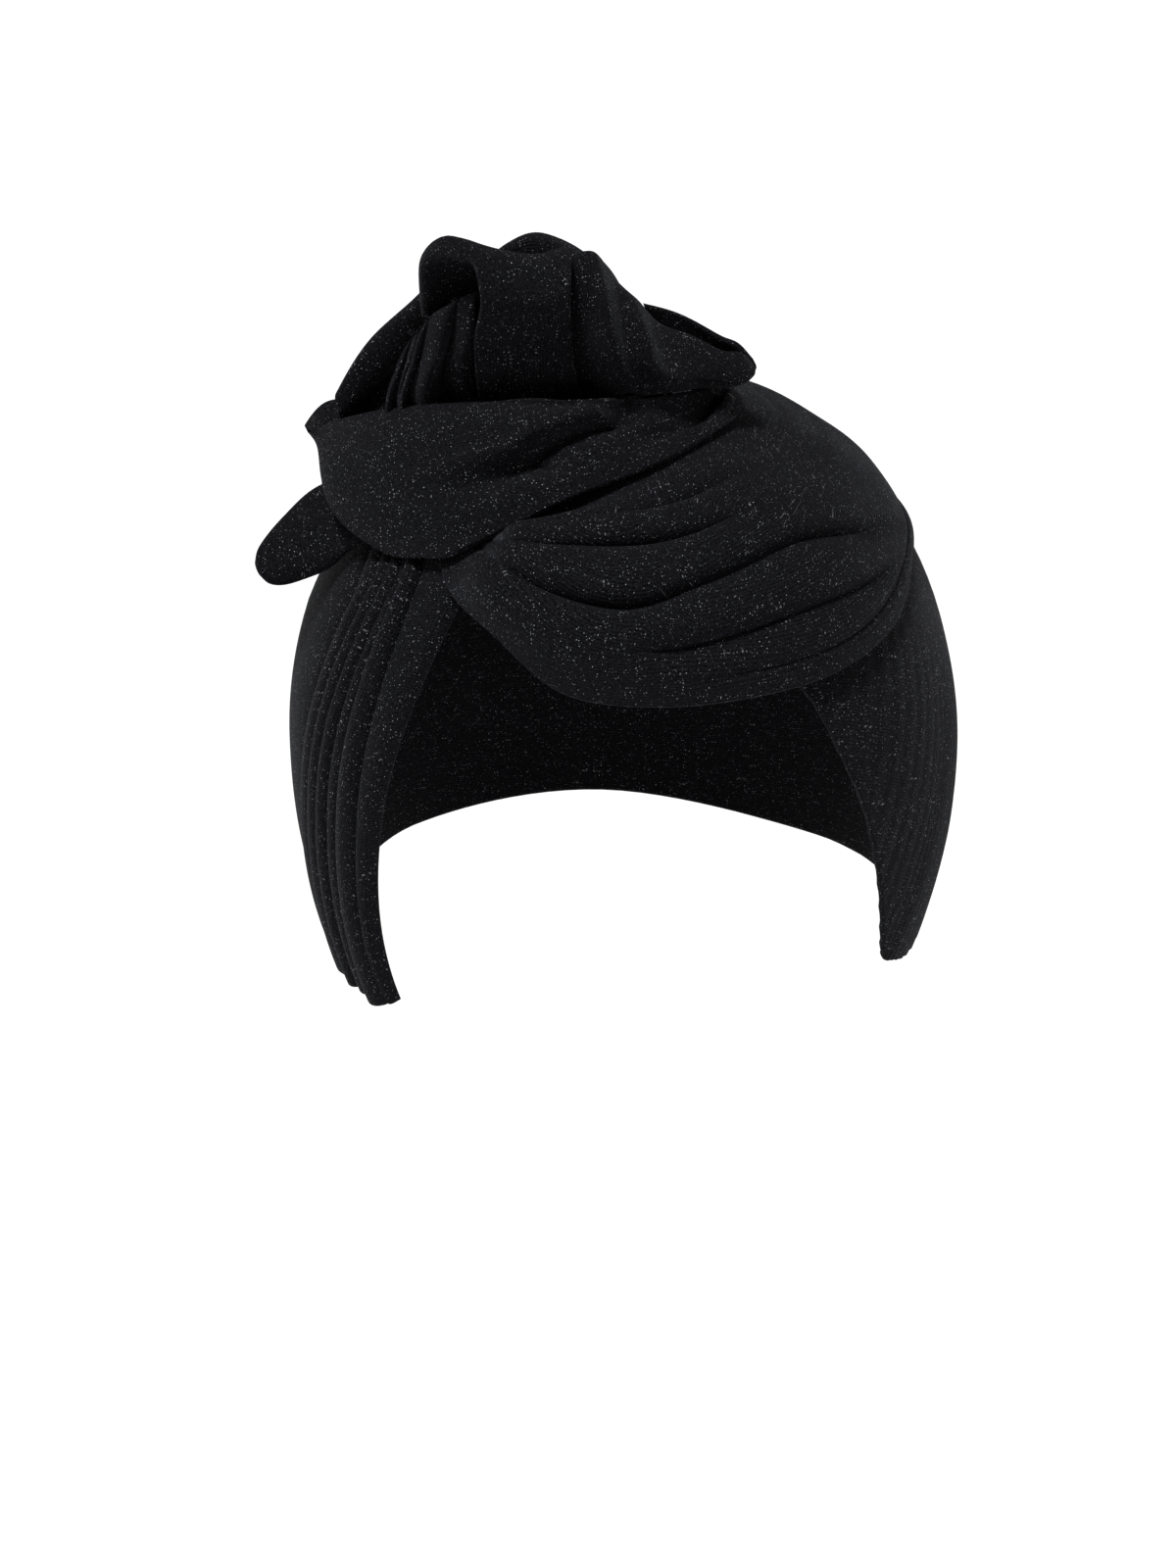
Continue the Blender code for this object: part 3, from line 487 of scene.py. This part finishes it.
def on_knot(shares):
    """Points of the rosette from rows of (side, back, rise)."""
    shares = np.asarray(shares, float)
    middle = direction(KNOT_TURN, KNOT_FALL)
    foot = on_head(middle, 0.0)
    outward = unit(on_head(middle, REACH) - foot)
    radius = np.linalg.norm(foot + np.array((0.0, 0.0, HEAD_CROWN)))
    level = np.array((1.0, 0.0, 0.0))
    sideways = unit(level - outward * (level @ outward))
    sideways = unit(sideways - middle * (sideways @ middle))
    backward = np.cross(middle, sideways)
    height = KNOT_LIFT + shares[..., 2] * REACH
    side = shares[..., 0] * REACH / (radius + height)
    back = shares[..., 1] * REACH / (radius + height)
    bend = np.hypot(side, back)
    ratio = np.sinc(bend / np.pi)
    towards = (middle * np.cos(bend)[..., None] + sideways * (side * ratio)[..., None]
               + backward * (back * ratio)[..., None])
    return on_head(towards, height)


def edged_shares(count, length):
    """Even shares 0 to 1 with closer ones near both ends, where a cloth edge is rounded."""
    near = np.array(EDGE_STEPS) / length
    middle = np.linspace(near[-1], 1 - near[-1], count)
    return np.concatenate((near[:-1], middle, 1 - near[-2::-1]))


def grid_shares(grid):
    """Shares of a cloth's lines across it and along it."""
    return [edged_shares(count, length) for count, length in grid]


def knot_grid(lines, across, along):
    """Grid of (side, back, rise) through the given lines."""
    rows = np.array([spline(line, along) for line in lines])
    return spline(rows, across, even=True)


def grid_normals(points):
    """Directions that stand square to the cloth, at each point of its grid."""
    down = np.gradient(points, axis=0)
    right = np.gradient(points, axis=1)
    return unit(np.cross(down, right))


def distance_along(points, axis):
    """Length of cloth from the grid's first row or column to each point."""
    steps = np.linalg.norm(np.diff(points, axis=axis), axis=-1)
    pad = [(0, 0), (0, 0)]
    pad[axis] = (1, 0)
    return np.pad(np.cumsum(steps, axis=axis), pad)


def edge_distance(points, open_sides):
    """Distance of each point from the nearest open edge; rows run from top to bottom."""
    rows, columns = distance_along(points, 0), distance_along(points, 1)
    choices = {"top": rows, "bottom": rows[-1:] - rows,
               "left": columns, "right": columns[:, -1:] - columns}
    return np.min([choices[side] for side in open_sides], axis=0)


def wrinkles(points, size, seed, stretch, height):
    """Smooth noise from -height to height over a grid of points; size is the length of one wrinkle."""
    scaled = points / (np.array(stretch) * size) + seed * SEED_SPACING
    flat = [noise.noise(Vector(point)) for point in scaled.reshape(-1, 3)]
    return np.array(flat).reshape(points.shape[:2]) * height


def shell(name, face, back):
    """Closed cloth mesh between two matching grids, with its place on the cloth kept at each point."""
    rows, columns = face.shape[:2]
    numbers = {}
    index = np.empty((rows, columns), int)
    for row in range(rows):
        for column in range(columns):
            key = tuple(np.round(face[row, column], 8) + 0.0)
            index[row, column] = numbers.setdefault(key, len(numbers))
    count = len(numbers)
    points = np.empty((2 * count, 3))
    points[index] = face
    points[index + count] = back
    place = np.zeros((2 * count, 3))
    lengths = np.stack((distance_along(face, 0), distance_along(face, 1), np.zeros((rows, columns))), -1)
    place[index] = lengths
    place[index + count] = lengths
    faces = []
    for row in range(rows - 1):
        for column in range(columns - 1):
            corners = (index[row, column], index[row + 1, column],
                       index[row + 1, column + 1], index[row, column + 1])
            corners = tuple(dict.fromkeys(int(corner) for corner in corners))
            if len(corners) > 2:
                faces.append(corners)
    edges = {(quad[k - 1], quad[k]) for quad in faces for k in range(len(quad))}
    rim = [edge for edge in sorted(edges) if edge[::-1] not in edges]
    faces += [tuple(corner + count for corner in quad[::-1]) for quad in faces]
    faces += [(end, start, start + count, end + count) for start, end in rim]

    mesh = bpy.data.meshes.new(name)
    mesh.from_pydata(points.tolist(), [], faces)
    kept = mesh.attributes.new(CLOTH_NAME, "FLOAT_VECTOR", "POINT")
    kept.data.foreach_set("vector", place.ravel())
    mesh.validate()
    mesh.shade_smooth()
    piece = bpy.data.objects.new(name, mesh)
    bpy.context.scene.collection.objects.link(piece)
    return piece


def cloth(name, face, facing, wall, open_sides):
    """Cloth of even thickness behind a grid of points, with its open edges rounded like a folded hem."""
    normals = grid_normals(face) * facing
    wall = np.broadcast_to(wall, face.shape[:2])
    reach = np.clip(edge_distance(face, open_sides) / (wall / 2), 0.0, 1.0)
    half = np.sqrt(np.clip(1 - (1 - reach) ** 2, 0.0, 1.0))
    half = (np.maximum(half, EDGE_THINNEST) * wall / 2)[..., None]
    middle = face - normals * (wall / 2)[..., None]
    outer, inner = middle + normals * half, middle - normals * half
    if facing > 0:
        return shell(name, outer, inner)
    return shell(name, outer[::-1], inner[::-1])


def bumpy(profile, sharpness):
    """Profile of a fold from 0 to 1, fuller where sharpness is small."""
    return np.clip(profile, 0.0, 1.0) ** sharpness


def cap_ripple(share, below):
    """Height of the pleats on the cap's left: each is fullest near its front crease, a narrow groove."""
    height = np.zeros(np.broadcast_shapes(share.shape, below.shape))
    for before, after in zip(CAP_CREASES[:-1], CAP_CREASES[1:]):
        start = before[0] + (before[1] - before[0]) * below
        end = after[0] + (after[1] - after[0]) * below
        within = np.clip((share - start) / (end - start), 0.0, 1.0)
        height += bumpy(np.sin(np.pi * within ** PLEAT_LEAN), PLEAT_FULLNESS) * after[2]
        height -= np.exp(-((share - start) / CAP_CREASE_WIDTH) ** 2) * CAP_CREASE_DEPTH
    return height


def pleat_columns():
    """Places of columns that follow the creases, at the rosette and at the rim."""
    tops, rims = [], []
    for number, (before, after) in enumerate(zip(CAP_CREASES[:-1], CAP_CREASES[1:])):
        within = np.linspace(0.0, 1.0, PLEAT_COLUMNS)[:-1]
        if number == 0:
            within = within ** PLEAT_EDGE_CROWDING
        tops.append(before[0] + (after[0] - before[0]) * within)
        rims.append(before[1] + (after[1] - before[1]) * within)
    return np.concatenate(tops), np.concatenate(rims)


def make_cap():
    """Close cap: pleats on the left, a smooth back, and a plain right side with faint ribs."""
    line_count = len(CAP_LINES) - 1
    pleated = CAP_PLEATED_LINES / line_count
    tops, rims = pleat_columns()
    plain = np.linspace(pleated, 1.0, PLAIN_COLUMNS)[:-1]
    plain = np.concatenate((plain, 1 - np.array(EDGE_STEPS[-2::-1]) / CAP_ROUND))

    dome = np.linspace(0.0, 1.0, DOME_ROWS)
    skirt = np.linspace(0.0, 1.0, SKIRT_ROWS)[1:-1]
    skirt = np.concatenate((skirt, 1 - np.array(EDGE_STEPS[::-1]) / SKIRT_LENGTH))
    below = np.concatenate((np.zeros(len(dome)), skirt))[:, None]
    plain = np.broadcast_to(plain / pleated, (len(below), len(plain)))
    share = np.hstack((tops + (rims - tops) * below, plain))
    rows = spline(CAP_LINES, (share * pleated).ravel(), even=True).reshape(share.shape + (4,))
    foot_turn, rim_turn, rim_fall, slack = np.moveaxis(rows, -1, 0)
    fall = CAP_FOOT_FALL + (rim_fall - CAP_FOOT_FALL) * below
    fall[:len(dome)] = dome[:, None] * CAP_FOOT_FALL
    turn = foot_turn + (rim_turn - foot_turn) * below ** CAP_LEAN_EASE
    directions = direction(turn, fall)

    ripple = cap_ripple(share, below) * ease((fall - CAP_PLEAT_START) / CAP_PLEAT_RISE)
    smooth_side = ease((share - PLAIN_START) * PLAIN_RISE)
    ribs = smooth_side * np.sin(share * pleated * PLAIN_RIB_COUNT) * PLAIN_RIB_HEIGHT
    lift = ripple + ease(below / CAP_SLACK_REACH) * slack * CAP_SLACK + ease(below * PLAIN_RIB_RISE) * ribs
    base = on_head(directions, np.zeros(lift.shape))
    lift = lift + ease(below * PLAIN_WRINKLE_RISE) * smooth_side * wrinkles(base, *CAP_WRINKLES)
    face = on_head(directions, lift + CAP_WALL)
    return cloth("cap_cloth", face, 1, CAP_WALL, ("bottom", "left", "right"))


def drape_relief(across, along):
    """Height of the folds over the drape, and how far each fold leans over the crease below it."""
    crest = spline(np.array(DRAPE_CREST)[:, None], across, even=True)
    swell = spline(np.array(DRAPE_SWELL)[:, None], along, even=True).T
    swell = swell * ease((along - DRAPE_TUCKED) / (DRAPE_RISEN - DRAPE_TUCKED))
    position = across * (len(DRAPE_LINES) - 1)
    relief = np.clip(crest, 0.0, None) * np.clip(swell, 0.0, None)
    lean = np.zeros(relief.shape)
    for line, (start, end, depth) in enumerate(DRAPE_CREASES):
        if depth == 0.0:
            continue
        offset = position - line
        closeness = np.where(offset > 0, offset * CREASE_NEARNESS, -offset)
        sharpness = np.where(offset > 0, CREASE_UPPER_RISE, CREASE_LOWER_RISE)
        notch = 1 - np.sin(np.pi * np.clip(closeness, 0.0, 0.5)) ** sharpness
        reach = ease((along - start) / CREASE_START_FADE) * ease((end - along) / CREASE_END_FADE + 1)
        relief = relief * (1 - depth * notch[:, None] * reach)
        over = np.sin(np.pi * np.clip(offset / 0.5, 0.0, 1.0))
        lean += over[:, None] * reach * depth * np.clip(swell, 0.0, None)
    return relief, lean


def make_front_drape():
    """Draped front: rolled folds that spread from the rosette and wrap the crown."""
    across, along = grid_shares(DRAPE_GRID)
    lines = [unit(spline(direction(*np.array(line, float).T), along)) for line in DRAPE_LINES]
    directions = spline(np.array(lines), across, even=True)
    relief, lean = drape_relief(across, along)
    lift = DRAPE_LIFT + relief * FOLD_HEIGHT
    base = on_head(directions, lift)
    broad = ease((along - DRAPE_WRINKLE_START) / DRAPE_WRINKLE_RISE)
    small = wrinkles(base, *DRAPE_FINE_WRINKLES) + wrinkles(base, *DRAPE_BROAD_WRINKLES) * broad
    lift = lift + small * ease(edge_distance(base, ALL_SIDES) / DRAPE_MARGIN)
    hem = distance_along(base, 0)
    window = ease((along - HEM_GROOVE_START) / HEM_GROOVE_FADE)
    window = window * ease((HEM_GROOVE_END - along) / HEM_GROOVE_FADE)
    groove = np.exp(-((hem - HEM_GROOVE_PLACE) / HEM_GROOVE_WIDTH) ** 2) * window * HEM_GROOVE_DEPTH
    face = on_head(directions, lift + DRAPE_WALL - groove)
    up = unit(np.gradient(face, axis=0))
    face = face - up * (lean * FOLD_LEAN)[..., None]
    return cloth("drape_cloth", face, 1, DRAPE_WALL, ALL_SIDES)


def band_groove(across, along, line, deepest, width, roll):
    """Depth of a groove with a rolled upper side; line has rows of (along, across, share of deepest)."""
    place, middle, depth = np.array(line).T
    depth = np.interp(along, place, depth, left=0.0, right=0.0) * deepest
    offset = (across[:, None] - np.interp(along, place, middle)) / width
    hollow = np.exp(-np.abs(offset) ** BAND_GROOVE_SHAPE)
    return depth * (hollow - roll * np.exp(-(offset - BAND_ROLL_PLACE) ** 2))


def make_wrap_band():
    """Band round the rosette's foot, with one slanting crease that ends at its upper edge."""
    across, along = grid_shares(BAND_GRID)
    face = on_knot(knot_grid(BAND_LINES, across, along))
    crease = band_groove(across, along, BAND_CREASE, BAND_CREASE_DEPTH, BAND_CREASE_WIDTH, BAND_ROLL_SHARE)
    hollow = band_groove(across, along, BAND_HOLLOW, BAND_HOLLOW_DEPTH, BAND_HOLLOW_WIDTH, 0.0)
    small = wrinkles(face, *BAND_WRINKLES) * ease(edge_distance(face, ALL_SIDES) / BAND_MARGIN)
    face = face + grid_normals(face) * (small - crease - hollow)[..., None]
    return cloth("band_cloth", face, 1, KNOT_WALL, ALL_SIDES)


def rosette_face(lines, grid, facing, small_wrinkles):
    """Outer face of one fold of the rosette, from its lines."""
    face = on_knot(knot_grid(lines, *grid_shares(grid)))
    small = wrinkles(face, *small_wrinkles) * ease(edge_distance(face, ALL_SIDES) / ROSETTE_MARGIN)
    return face + grid_normals(face) * (small * facing)[..., None]


def make_front_loop():
    """Loop whose left edge is rolled into a thick lip over its hollow."""
    face = rosette_face(FRONT_LOOP_LINES, FRONT_LOOP_GRID, 1, FRONT_LOOP_WRINKLES)
    along = grid_shares(FRONT_LOOP_GRID)[1]
    over_ridge = ease((along - LIP_START) / LIP_EASE) * ease((LIP_END - along) / LIP_EASE)
    lip = np.exp(-(distance_along(face, 0) / LIP_WIDTH) ** 2) * over_ridge
    return cloth("front_loop_cloth", face, 1, KNOT_WALL + lip * LIP_HEIGHT, ALL_SIDES)


def make_inner_folds():
    """Narrow upright folds, each fuller towards its right crease."""
    across, along = grid_shares(INNER_FOLD_GRID)
    grid = knot_grid(INNER_FOLD_LINES, across, along)
    share = across[:, None] + INNER_FOLD_BOW * np.sin(np.pi * along)
    flute = np.zeros(share.shape)
    for (start, _), (end, height) in zip(INNER_FOLD_CREASES[:-1], INNER_FOLD_CREASES[1:]):
        within = np.clip((share - start) / (end - start), 0.0, 1.0)
        flute += bumpy(np.sin(np.pi * within ** INNER_FOLD_LEAN), INNER_FOLD_FULLNESS) * height
    fullness = ease(along * INNER_FOLD_RISE + INNER_FOLD_START) * ease((1 - along) * INNER_FOLD_END)
    grid[..., 1] -= flute * fullness / REACH
    return cloth("inner_folds_cloth", on_knot(grid), 1, KNOT_WALL, ALL_SIDES)


def panel_tuck(across, along, start, end, slope, width, depth):
    """Depth of one slanting tuck; it runs along the panel from start to end and fades at both."""
    within = np.sin(np.pi * np.clip((across - start) / (end - start), 0.0, 1.0))
    middle = PANEL_TUCK_START + slope * (across - start)
    return depth * within * np.exp(-((along - middle) / width) ** 2)


def make_left_panel():
    """Panel with tucks at its foot, deepest at the left."""
    across, along = grid_shares(LEFT_PANEL_GRID)
    grid = knot_grid(LEFT_PANEL_LINES, across, along)
    tuck = sum(panel_tuck(across[:, None], along, *row) for row in PANEL_TUCKS)
    grid[..., 1] += tuck / REACH
    return cloth("left_panel_cloth", on_knot(grid), 1, KNOT_WALL, ALL_SIDES)


def make_back_loop():
    """Loop behind the front loop, open at its top."""
    face = rosette_face(BACK_LOOP_LINES, BACK_LOOP_GRID, -1, BACK_LOOP_WRINKLES)
    return cloth("back_loop_cloth", face, -1, KNOT_WALL, ALL_SIDES)


def make_right_folds():
    """Lobed folds that fall to the right of the rosette."""
    face = rosette_face(RIGHT_FOLD_LINES, RIGHT_FOLD_GRID, -1, RIGHT_FOLD_WRINKLES)
    return cloth("right_folds_cloth", face, -1, KNOT_WALL, ALL_SIDES)


def make_right_tail():
    """Short pouch at the right, open above."""
    face = rosette_face(RIGHT_TAIL_LINES, RIGHT_TAIL_GRID, -1, RIGHT_TAIL_WRINKLES)
    return cloth("right_tail_cloth", face, -1, KNOT_WALL, ALL_SIDES)


def make_left_tail():
    """Flat puffed sleeve with a rounded, closed tip."""
    rows = spline(LEFT_TAIL_SECTIONS, np.linspace(0.0, 1.0, LEFT_TAIL_RINGS), even=True)
    angles = np.linspace(0.0, 2 * np.pi, LEFT_TAIL_SIDES + 1)
    outer, inner = [], []
    wall = KNOT_WALL / REACH
    for side, back, rise, half_width, half_thickness, tilt in rows:
        lean = np.radians(tilt)
        for rings, less in ((outer, 0.0), (inner, wall)):
            wide = (half_width - less) * np.cos(angles)
            thick = (half_thickness - less) * np.sin(angles)
            ring = np.empty((len(angles), 3))
            ring[:, 0] = side + less / 2
            ring[:, 1] = back + wide * np.cos(lean) - thick * np.sin(lean)
            ring[:, 2] = rise + wide * np.sin(lean) + thick * np.cos(lean)
            rings.append(ring)
    tip = rows[-1, :3] + LEFT_TAIL_TIP_STEP
    outer.append(np.broadcast_to(tip, outer[0].shape))
    inner.append(np.broadcast_to(tip + (wall, 0, 0), outer[0].shape))
    return shell("left_tail_cloth", on_knot(np.array(outer)), on_knot(np.array(inner)))


def jersey():
    """Black glitter jersey: fine ribs, knitted rows and silver specks along them."""
    material = bpy.data.materials.new("black_glitter_jersey")
    material.use_nodes = True
    nodes, links = material.node_tree.nodes, material.node_tree.links
    shader = nodes["Principled BSDF"]

    def add(kind, **values):
        """New node with its settings; in_0 and so on are the values of its inputs."""
        node = nodes.new("ShaderNode" + kind)
        for name, value in values.items():
            if name.startswith("in_"):
                node.inputs[int(name[3:])].default_value = value
            else:
                setattr(node, name, value)
        return node

    def wire(source, target):
        links.new(source, target)

    def calculate(operation, first, second):
        """Result of one sum; each of its two terms is a number or another node's output."""
        node = add("Math", operation=operation)
        for slot, value in enumerate((first, second)):
            if isinstance(value, (int, float)):
                node.inputs[slot].default_value = value
            else:
                wire(value, node.inputs[slot])
        return node.outputs[0]

    def stretched(source, sizes):
        """Coordinates in cells of the given sizes."""
        node = add("VectorMath", operation="MULTIPLY", in_1=tuple(1 / size for size in sizes))
        wire(source, node.inputs[0])
        return node.outputs[0]

    def dots(vector, dimensions, randomness, smallest, spread):
        """Small discs, one in each cell, with a bright middle, and a random number for each."""
        cells = add("TexVoronoi", voronoi_dimensions=dimensions, feature="F1")
        cells.inputs["Scale"].default_value = 1.0
        cells.inputs["Randomness"].default_value = randomness
        wire(vector, cells.inputs["Vector"])
        random = add("SeparateColor")
        wire(cells.outputs["Color"], random.inputs[0])
        edge = calculate("ADD", calculate("MULTIPLY", random.outputs[1], spread), smallest)
        disc = calculate("SUBTRACT", 1.0, calculate("DIVIDE", cells.outputs["Distance"], edge))
        disc = calculate("MINIMUM", calculate("MULTIPLY", calculate("MAXIMUM", disc, 0.0), 2.0), 1.0)
        return disc, random.outputs[0]

    def clouds(vector, scale, detail):
        """Soft noise from 0 to 1."""
        node = add("TexNoise", noise_dimensions="3D")
        node.inputs["Scale"].default_value = scale
        node.inputs["Detail"].default_value = detail
        wire(vector, node.inputs["Vector"])
        return node.outputs[0]

    place = add("Attribute", attribute_type="GEOMETRY", attribute_name=CLOTH_NAME).outputs["Vector"]
    space = add("TexCoord").outputs["Object"]
    parts = add("SeparateXYZ")
    wire(place, parts.inputs[0])
    ribs = calculate("SINE", calculate("MULTIPLY", parts.outputs[0], 2 * np.pi / RIB_PITCH), 0.0)
    rows = calculate("SINE", calculate("MULTIPLY", parts.outputs[1], 2 * np.pi / ROW_PITCH), 0.0)
    ribs = calculate("MULTIPLY", ribs, RIB_SHARE)
    rows = calculate("MULTIPLY", rows, ROW_SHARE)
    weave = calculate("ADD", ribs, rows)
    grain = calculate("SUBTRACT", clouds(space, 1 / GRAIN_SIZE, 1.0), 0.5)
    weave = calculate("ADD", weave, calculate("MULTIPLY", grain, GRAIN_SHARE))

    spark, spark_painted_glint = dots(stretched(space, (SPARK_CELL,) * 3), "3D", *SPARK_DISC)
    patch = calculate("MULTIPLY", clouds(space, 1 / PATCH_SIZE, 2.0), PATCH_STRENGTH)
    # Each speck's silver, metal and smoothness are scaled by a random share: the specks are the cloth's
    # own, their bright-or-dim spread is painted glint
    spark = calculate("MULTIPLY", spark, calculate("POWER", spark_painted_glint, SPARK_RARITY))
    spark = calculate("MULTIPLY", spark, patch)
    stitches = stretched(place, (2 * RIB_PITCH, 2 * ROW_PITCH, 1.0))
    stitch, stitch_painted_glint = dots(stitches, "2D", *STITCH_DISC)
    streak = calculate("SUBTRACT", clouds(stretched(place, STREAK_SIZE), 1.0, 1.0), STREAK_LEVEL)
    streak = calculate("MULTIPLY", calculate("MAXIMUM", streak, 0.0), STREAK_RISE)
    stitch = calculate("MULTIPLY", stitch, calculate("MINIMUM", streak, 1.0))
    # Stitch specks are scaled by a random share too: painted glint
    stitch = calculate("MULTIPLY", stitch, calculate("ADD", stitch_painted_glint, STITCH_LEAST_PAINTED_GLINT))
    mask = calculate("MAXIMUM", spark, calculate("MULTIPLY", stitch, STITCH_SHARE))
    mask = calculate("MINIMUM", mask, 1.0)

    shade = add("MapRange", in_1=-WEAVE_SPREAD, in_2=WEAVE_SPREAD, in_3=0.0, in_4=1.0)
    wire(weave, shade.inputs[0])
    yarn = add("Mix", data_type="RGBA")
    yarn.inputs["A"].default_value = YARN_DARK
    yarn.inputs["B"].default_value = YARN_LIGHT
    wire(shade.outputs[0], yarn.inputs["Factor"])
    colour = add("Mix", data_type="RGBA")
    colour.inputs["B"].default_value = SPECK_COLOUR
    wire(mask, colour.inputs["Factor"])
    wire(yarn.outputs["Result"], colour.inputs["A"])
    wire(colour.outputs["Result"], shader.inputs["Base Color"])
    wire(calculate("MULTIPLY", mask, SPECK_METAL), shader.inputs["Metallic"])
    smoothness = calculate("MULTIPLY", mask, SPECK_SMOOTHNESS)
    wire(calculate("SUBTRACT", YARN_ROUGHNESS, smoothness), shader.inputs["Roughness"])
    shader.inputs["Specular IOR Level"].default_value = 0.06
    shader.inputs["Sheen Weight"].default_value = 0.035
    shader.inputs["Sheen Roughness"].default_value = 0.35
    shader.inputs["Sheen Tint"].default_value = YARN_SHEEN

    relief = calculate("ADD", weave, calculate("MULTIPLY", mask, SPECK_RELIEF))
    bump = add("Bump")
    bump.inputs["Strength"].default_value = 0.55
    bump.inputs["Distance"].default_value = 0.00018
    wire(relief, bump.inputs["Height"])
    wire(bump.outputs[0], shader.inputs["Normal"])
    return material


def make_floor():
    """Wide white floor under the part, for the picture alone."""
    mesh = bpy.data.meshes.new("floor")
    places = [(x, y, -FLOOR_DROP) for x, y in
              ((-FLOOR_HALF, -FLOOR_HALF), (FLOOR_HALF, -FLOOR_HALF),
               (FLOOR_HALF, FLOOR_HALF), (-FLOOR_HALF, FLOOR_HALF))]
    mesh.from_pydata(places, [], [(0, 1, 2, 3)])
    material = bpy.data.materials.new("white_floor")
    material.use_nodes = True
    shader = material.node_tree.nodes["Principled BSDF"]
    shader.inputs["Base Color"].default_value = (0.90, 0.90, 0.90, 1.0)
    shader.inputs["Roughness"].default_value = 0.9
    shader.inputs["Specular IOR Level"].default_value = 0.0
    mesh.materials.append(material)
    floor = bpy.data.objects.new("floor", mesh)
    bpy.context.scene.collection.objects.link(floor)
    floor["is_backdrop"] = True


def add_sun(name, place, strength, softness):
    """Far light that shines from place towards the origin; softness is its width in degrees."""
    light = bpy.data.lights.new(name, "SUN")
    light.energy = strength
    light.angle = np.radians(softness)
    lamp = bpy.data.objects.new(name, light)
    lamp.rotation_euler = Vector(place).to_track_quat("Z", "Y").to_euler()
    bpy.context.scene.collection.objects.link(lamp)


def make_light():
    """Even white light all round, and soft suns."""
    world = bpy.data.worlds.new("studio")
    world.use_nodes = True
    background = world.node_tree.nodes["Background"]
    background.inputs[0].default_value = (1.0, 1.0, 1.0, 1.0)
    background.inputs[1].default_value = EVEN_LIGHT
    bpy.context.scene.world = world
    for sun in SUNS:
        add_sun(*sun)
    bpy.context.scene.view_settings.view_transform = "Standard"


def make_camera():
    """Camera that looks down on the part from the front, as the photo's does."""
    turn, rise, roll = np.radians((CAMERA_TURN, CAMERA_RISE, CAMERA_ROLL))
    back = np.array((np.sin(turn) * np.cos(rise), -np.cos(turn) * np.cos(rise), np.sin(rise)))
    right = unit(np.cross(-back, (0.0, 0.0, 1.0)))
    up = np.cross(back, right)
    right, up = right * np.cos(roll) + up * np.sin(roll), up * np.cos(roll) - right * np.sin(roll)
    place = np.array(CAMERA_TARGET) + back * CAMERA_DISTANCE
    data = bpy.data.cameras.new("camera")
    data.lens = CAMERA_LENS
    data.sensor_width = CAMERA_FRAME
    data.clip_start = 0.01
    camera = bpy.data.objects.new("camera", data)
    matrix = np.eye(4)
    matrix[:3, 0], matrix[:3, 1], matrix[:3, 2], matrix[:3, 3] = right, up, back, place
    camera.matrix_world = Matrix(matrix.tolist())
    bpy.context.scene.collection.objects.link(camera)
    bpy.context.scene.camera = camera


def corners():
    """Lowest and highest corner of the object, as lists of numbers."""
    return [[float(x) for x in corner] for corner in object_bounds()]


# Node, maker, flat size of its cloth, how it is held and what it rests on
PIECES = (
    ("cap", make_cap, (0.40, 0.19), "stretched", ()),
    ("front_drape", make_front_drape, (0.11, 0.27), "draped", ("cap",)),
    ("wrap_band", make_wrap_band, (0.036, 0.12), "folded", ("front_drape",)),
    ("front_loop", make_front_loop, (0.028, 0.115), "folded", ("cap",)),
    ("inner_folds", make_inner_folds, (0.035, 0.038), "gathered", ("cap",)),
    ("left_panel", make_left_panel, (0.037, 0.076), "folded", ("cap",)),
    ("back_loop", make_back_loop, (0.041, 0.068), "folded", ("cap",)),
    ("right_folds", make_right_folds, (0.044, 0.034), "gathered", ("front_loop",)),
    ("right_tail", make_right_tail, (0.027, 0.020), "folded", ("cap",)),
    ("left_tail", make_left_tail, (0.040, 0.037), "folded", ("wrap_band",)),
)

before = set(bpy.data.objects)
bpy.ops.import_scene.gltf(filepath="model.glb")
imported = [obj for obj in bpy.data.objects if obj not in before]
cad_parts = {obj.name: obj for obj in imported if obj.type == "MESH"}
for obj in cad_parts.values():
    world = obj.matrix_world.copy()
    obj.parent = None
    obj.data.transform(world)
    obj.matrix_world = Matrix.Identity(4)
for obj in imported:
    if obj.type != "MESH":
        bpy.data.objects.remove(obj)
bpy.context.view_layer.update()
make_camera()
make_light()
make_floor()
cloth_material = jersey()
made = {node: maker() for node, maker, *_ in PIECES}
for node, maker, flat, held, rests_on in PIECES:
    piece = made[node]
    piece.data.materials.append(cloth_material)
    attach(piece, "root")
    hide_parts(node)
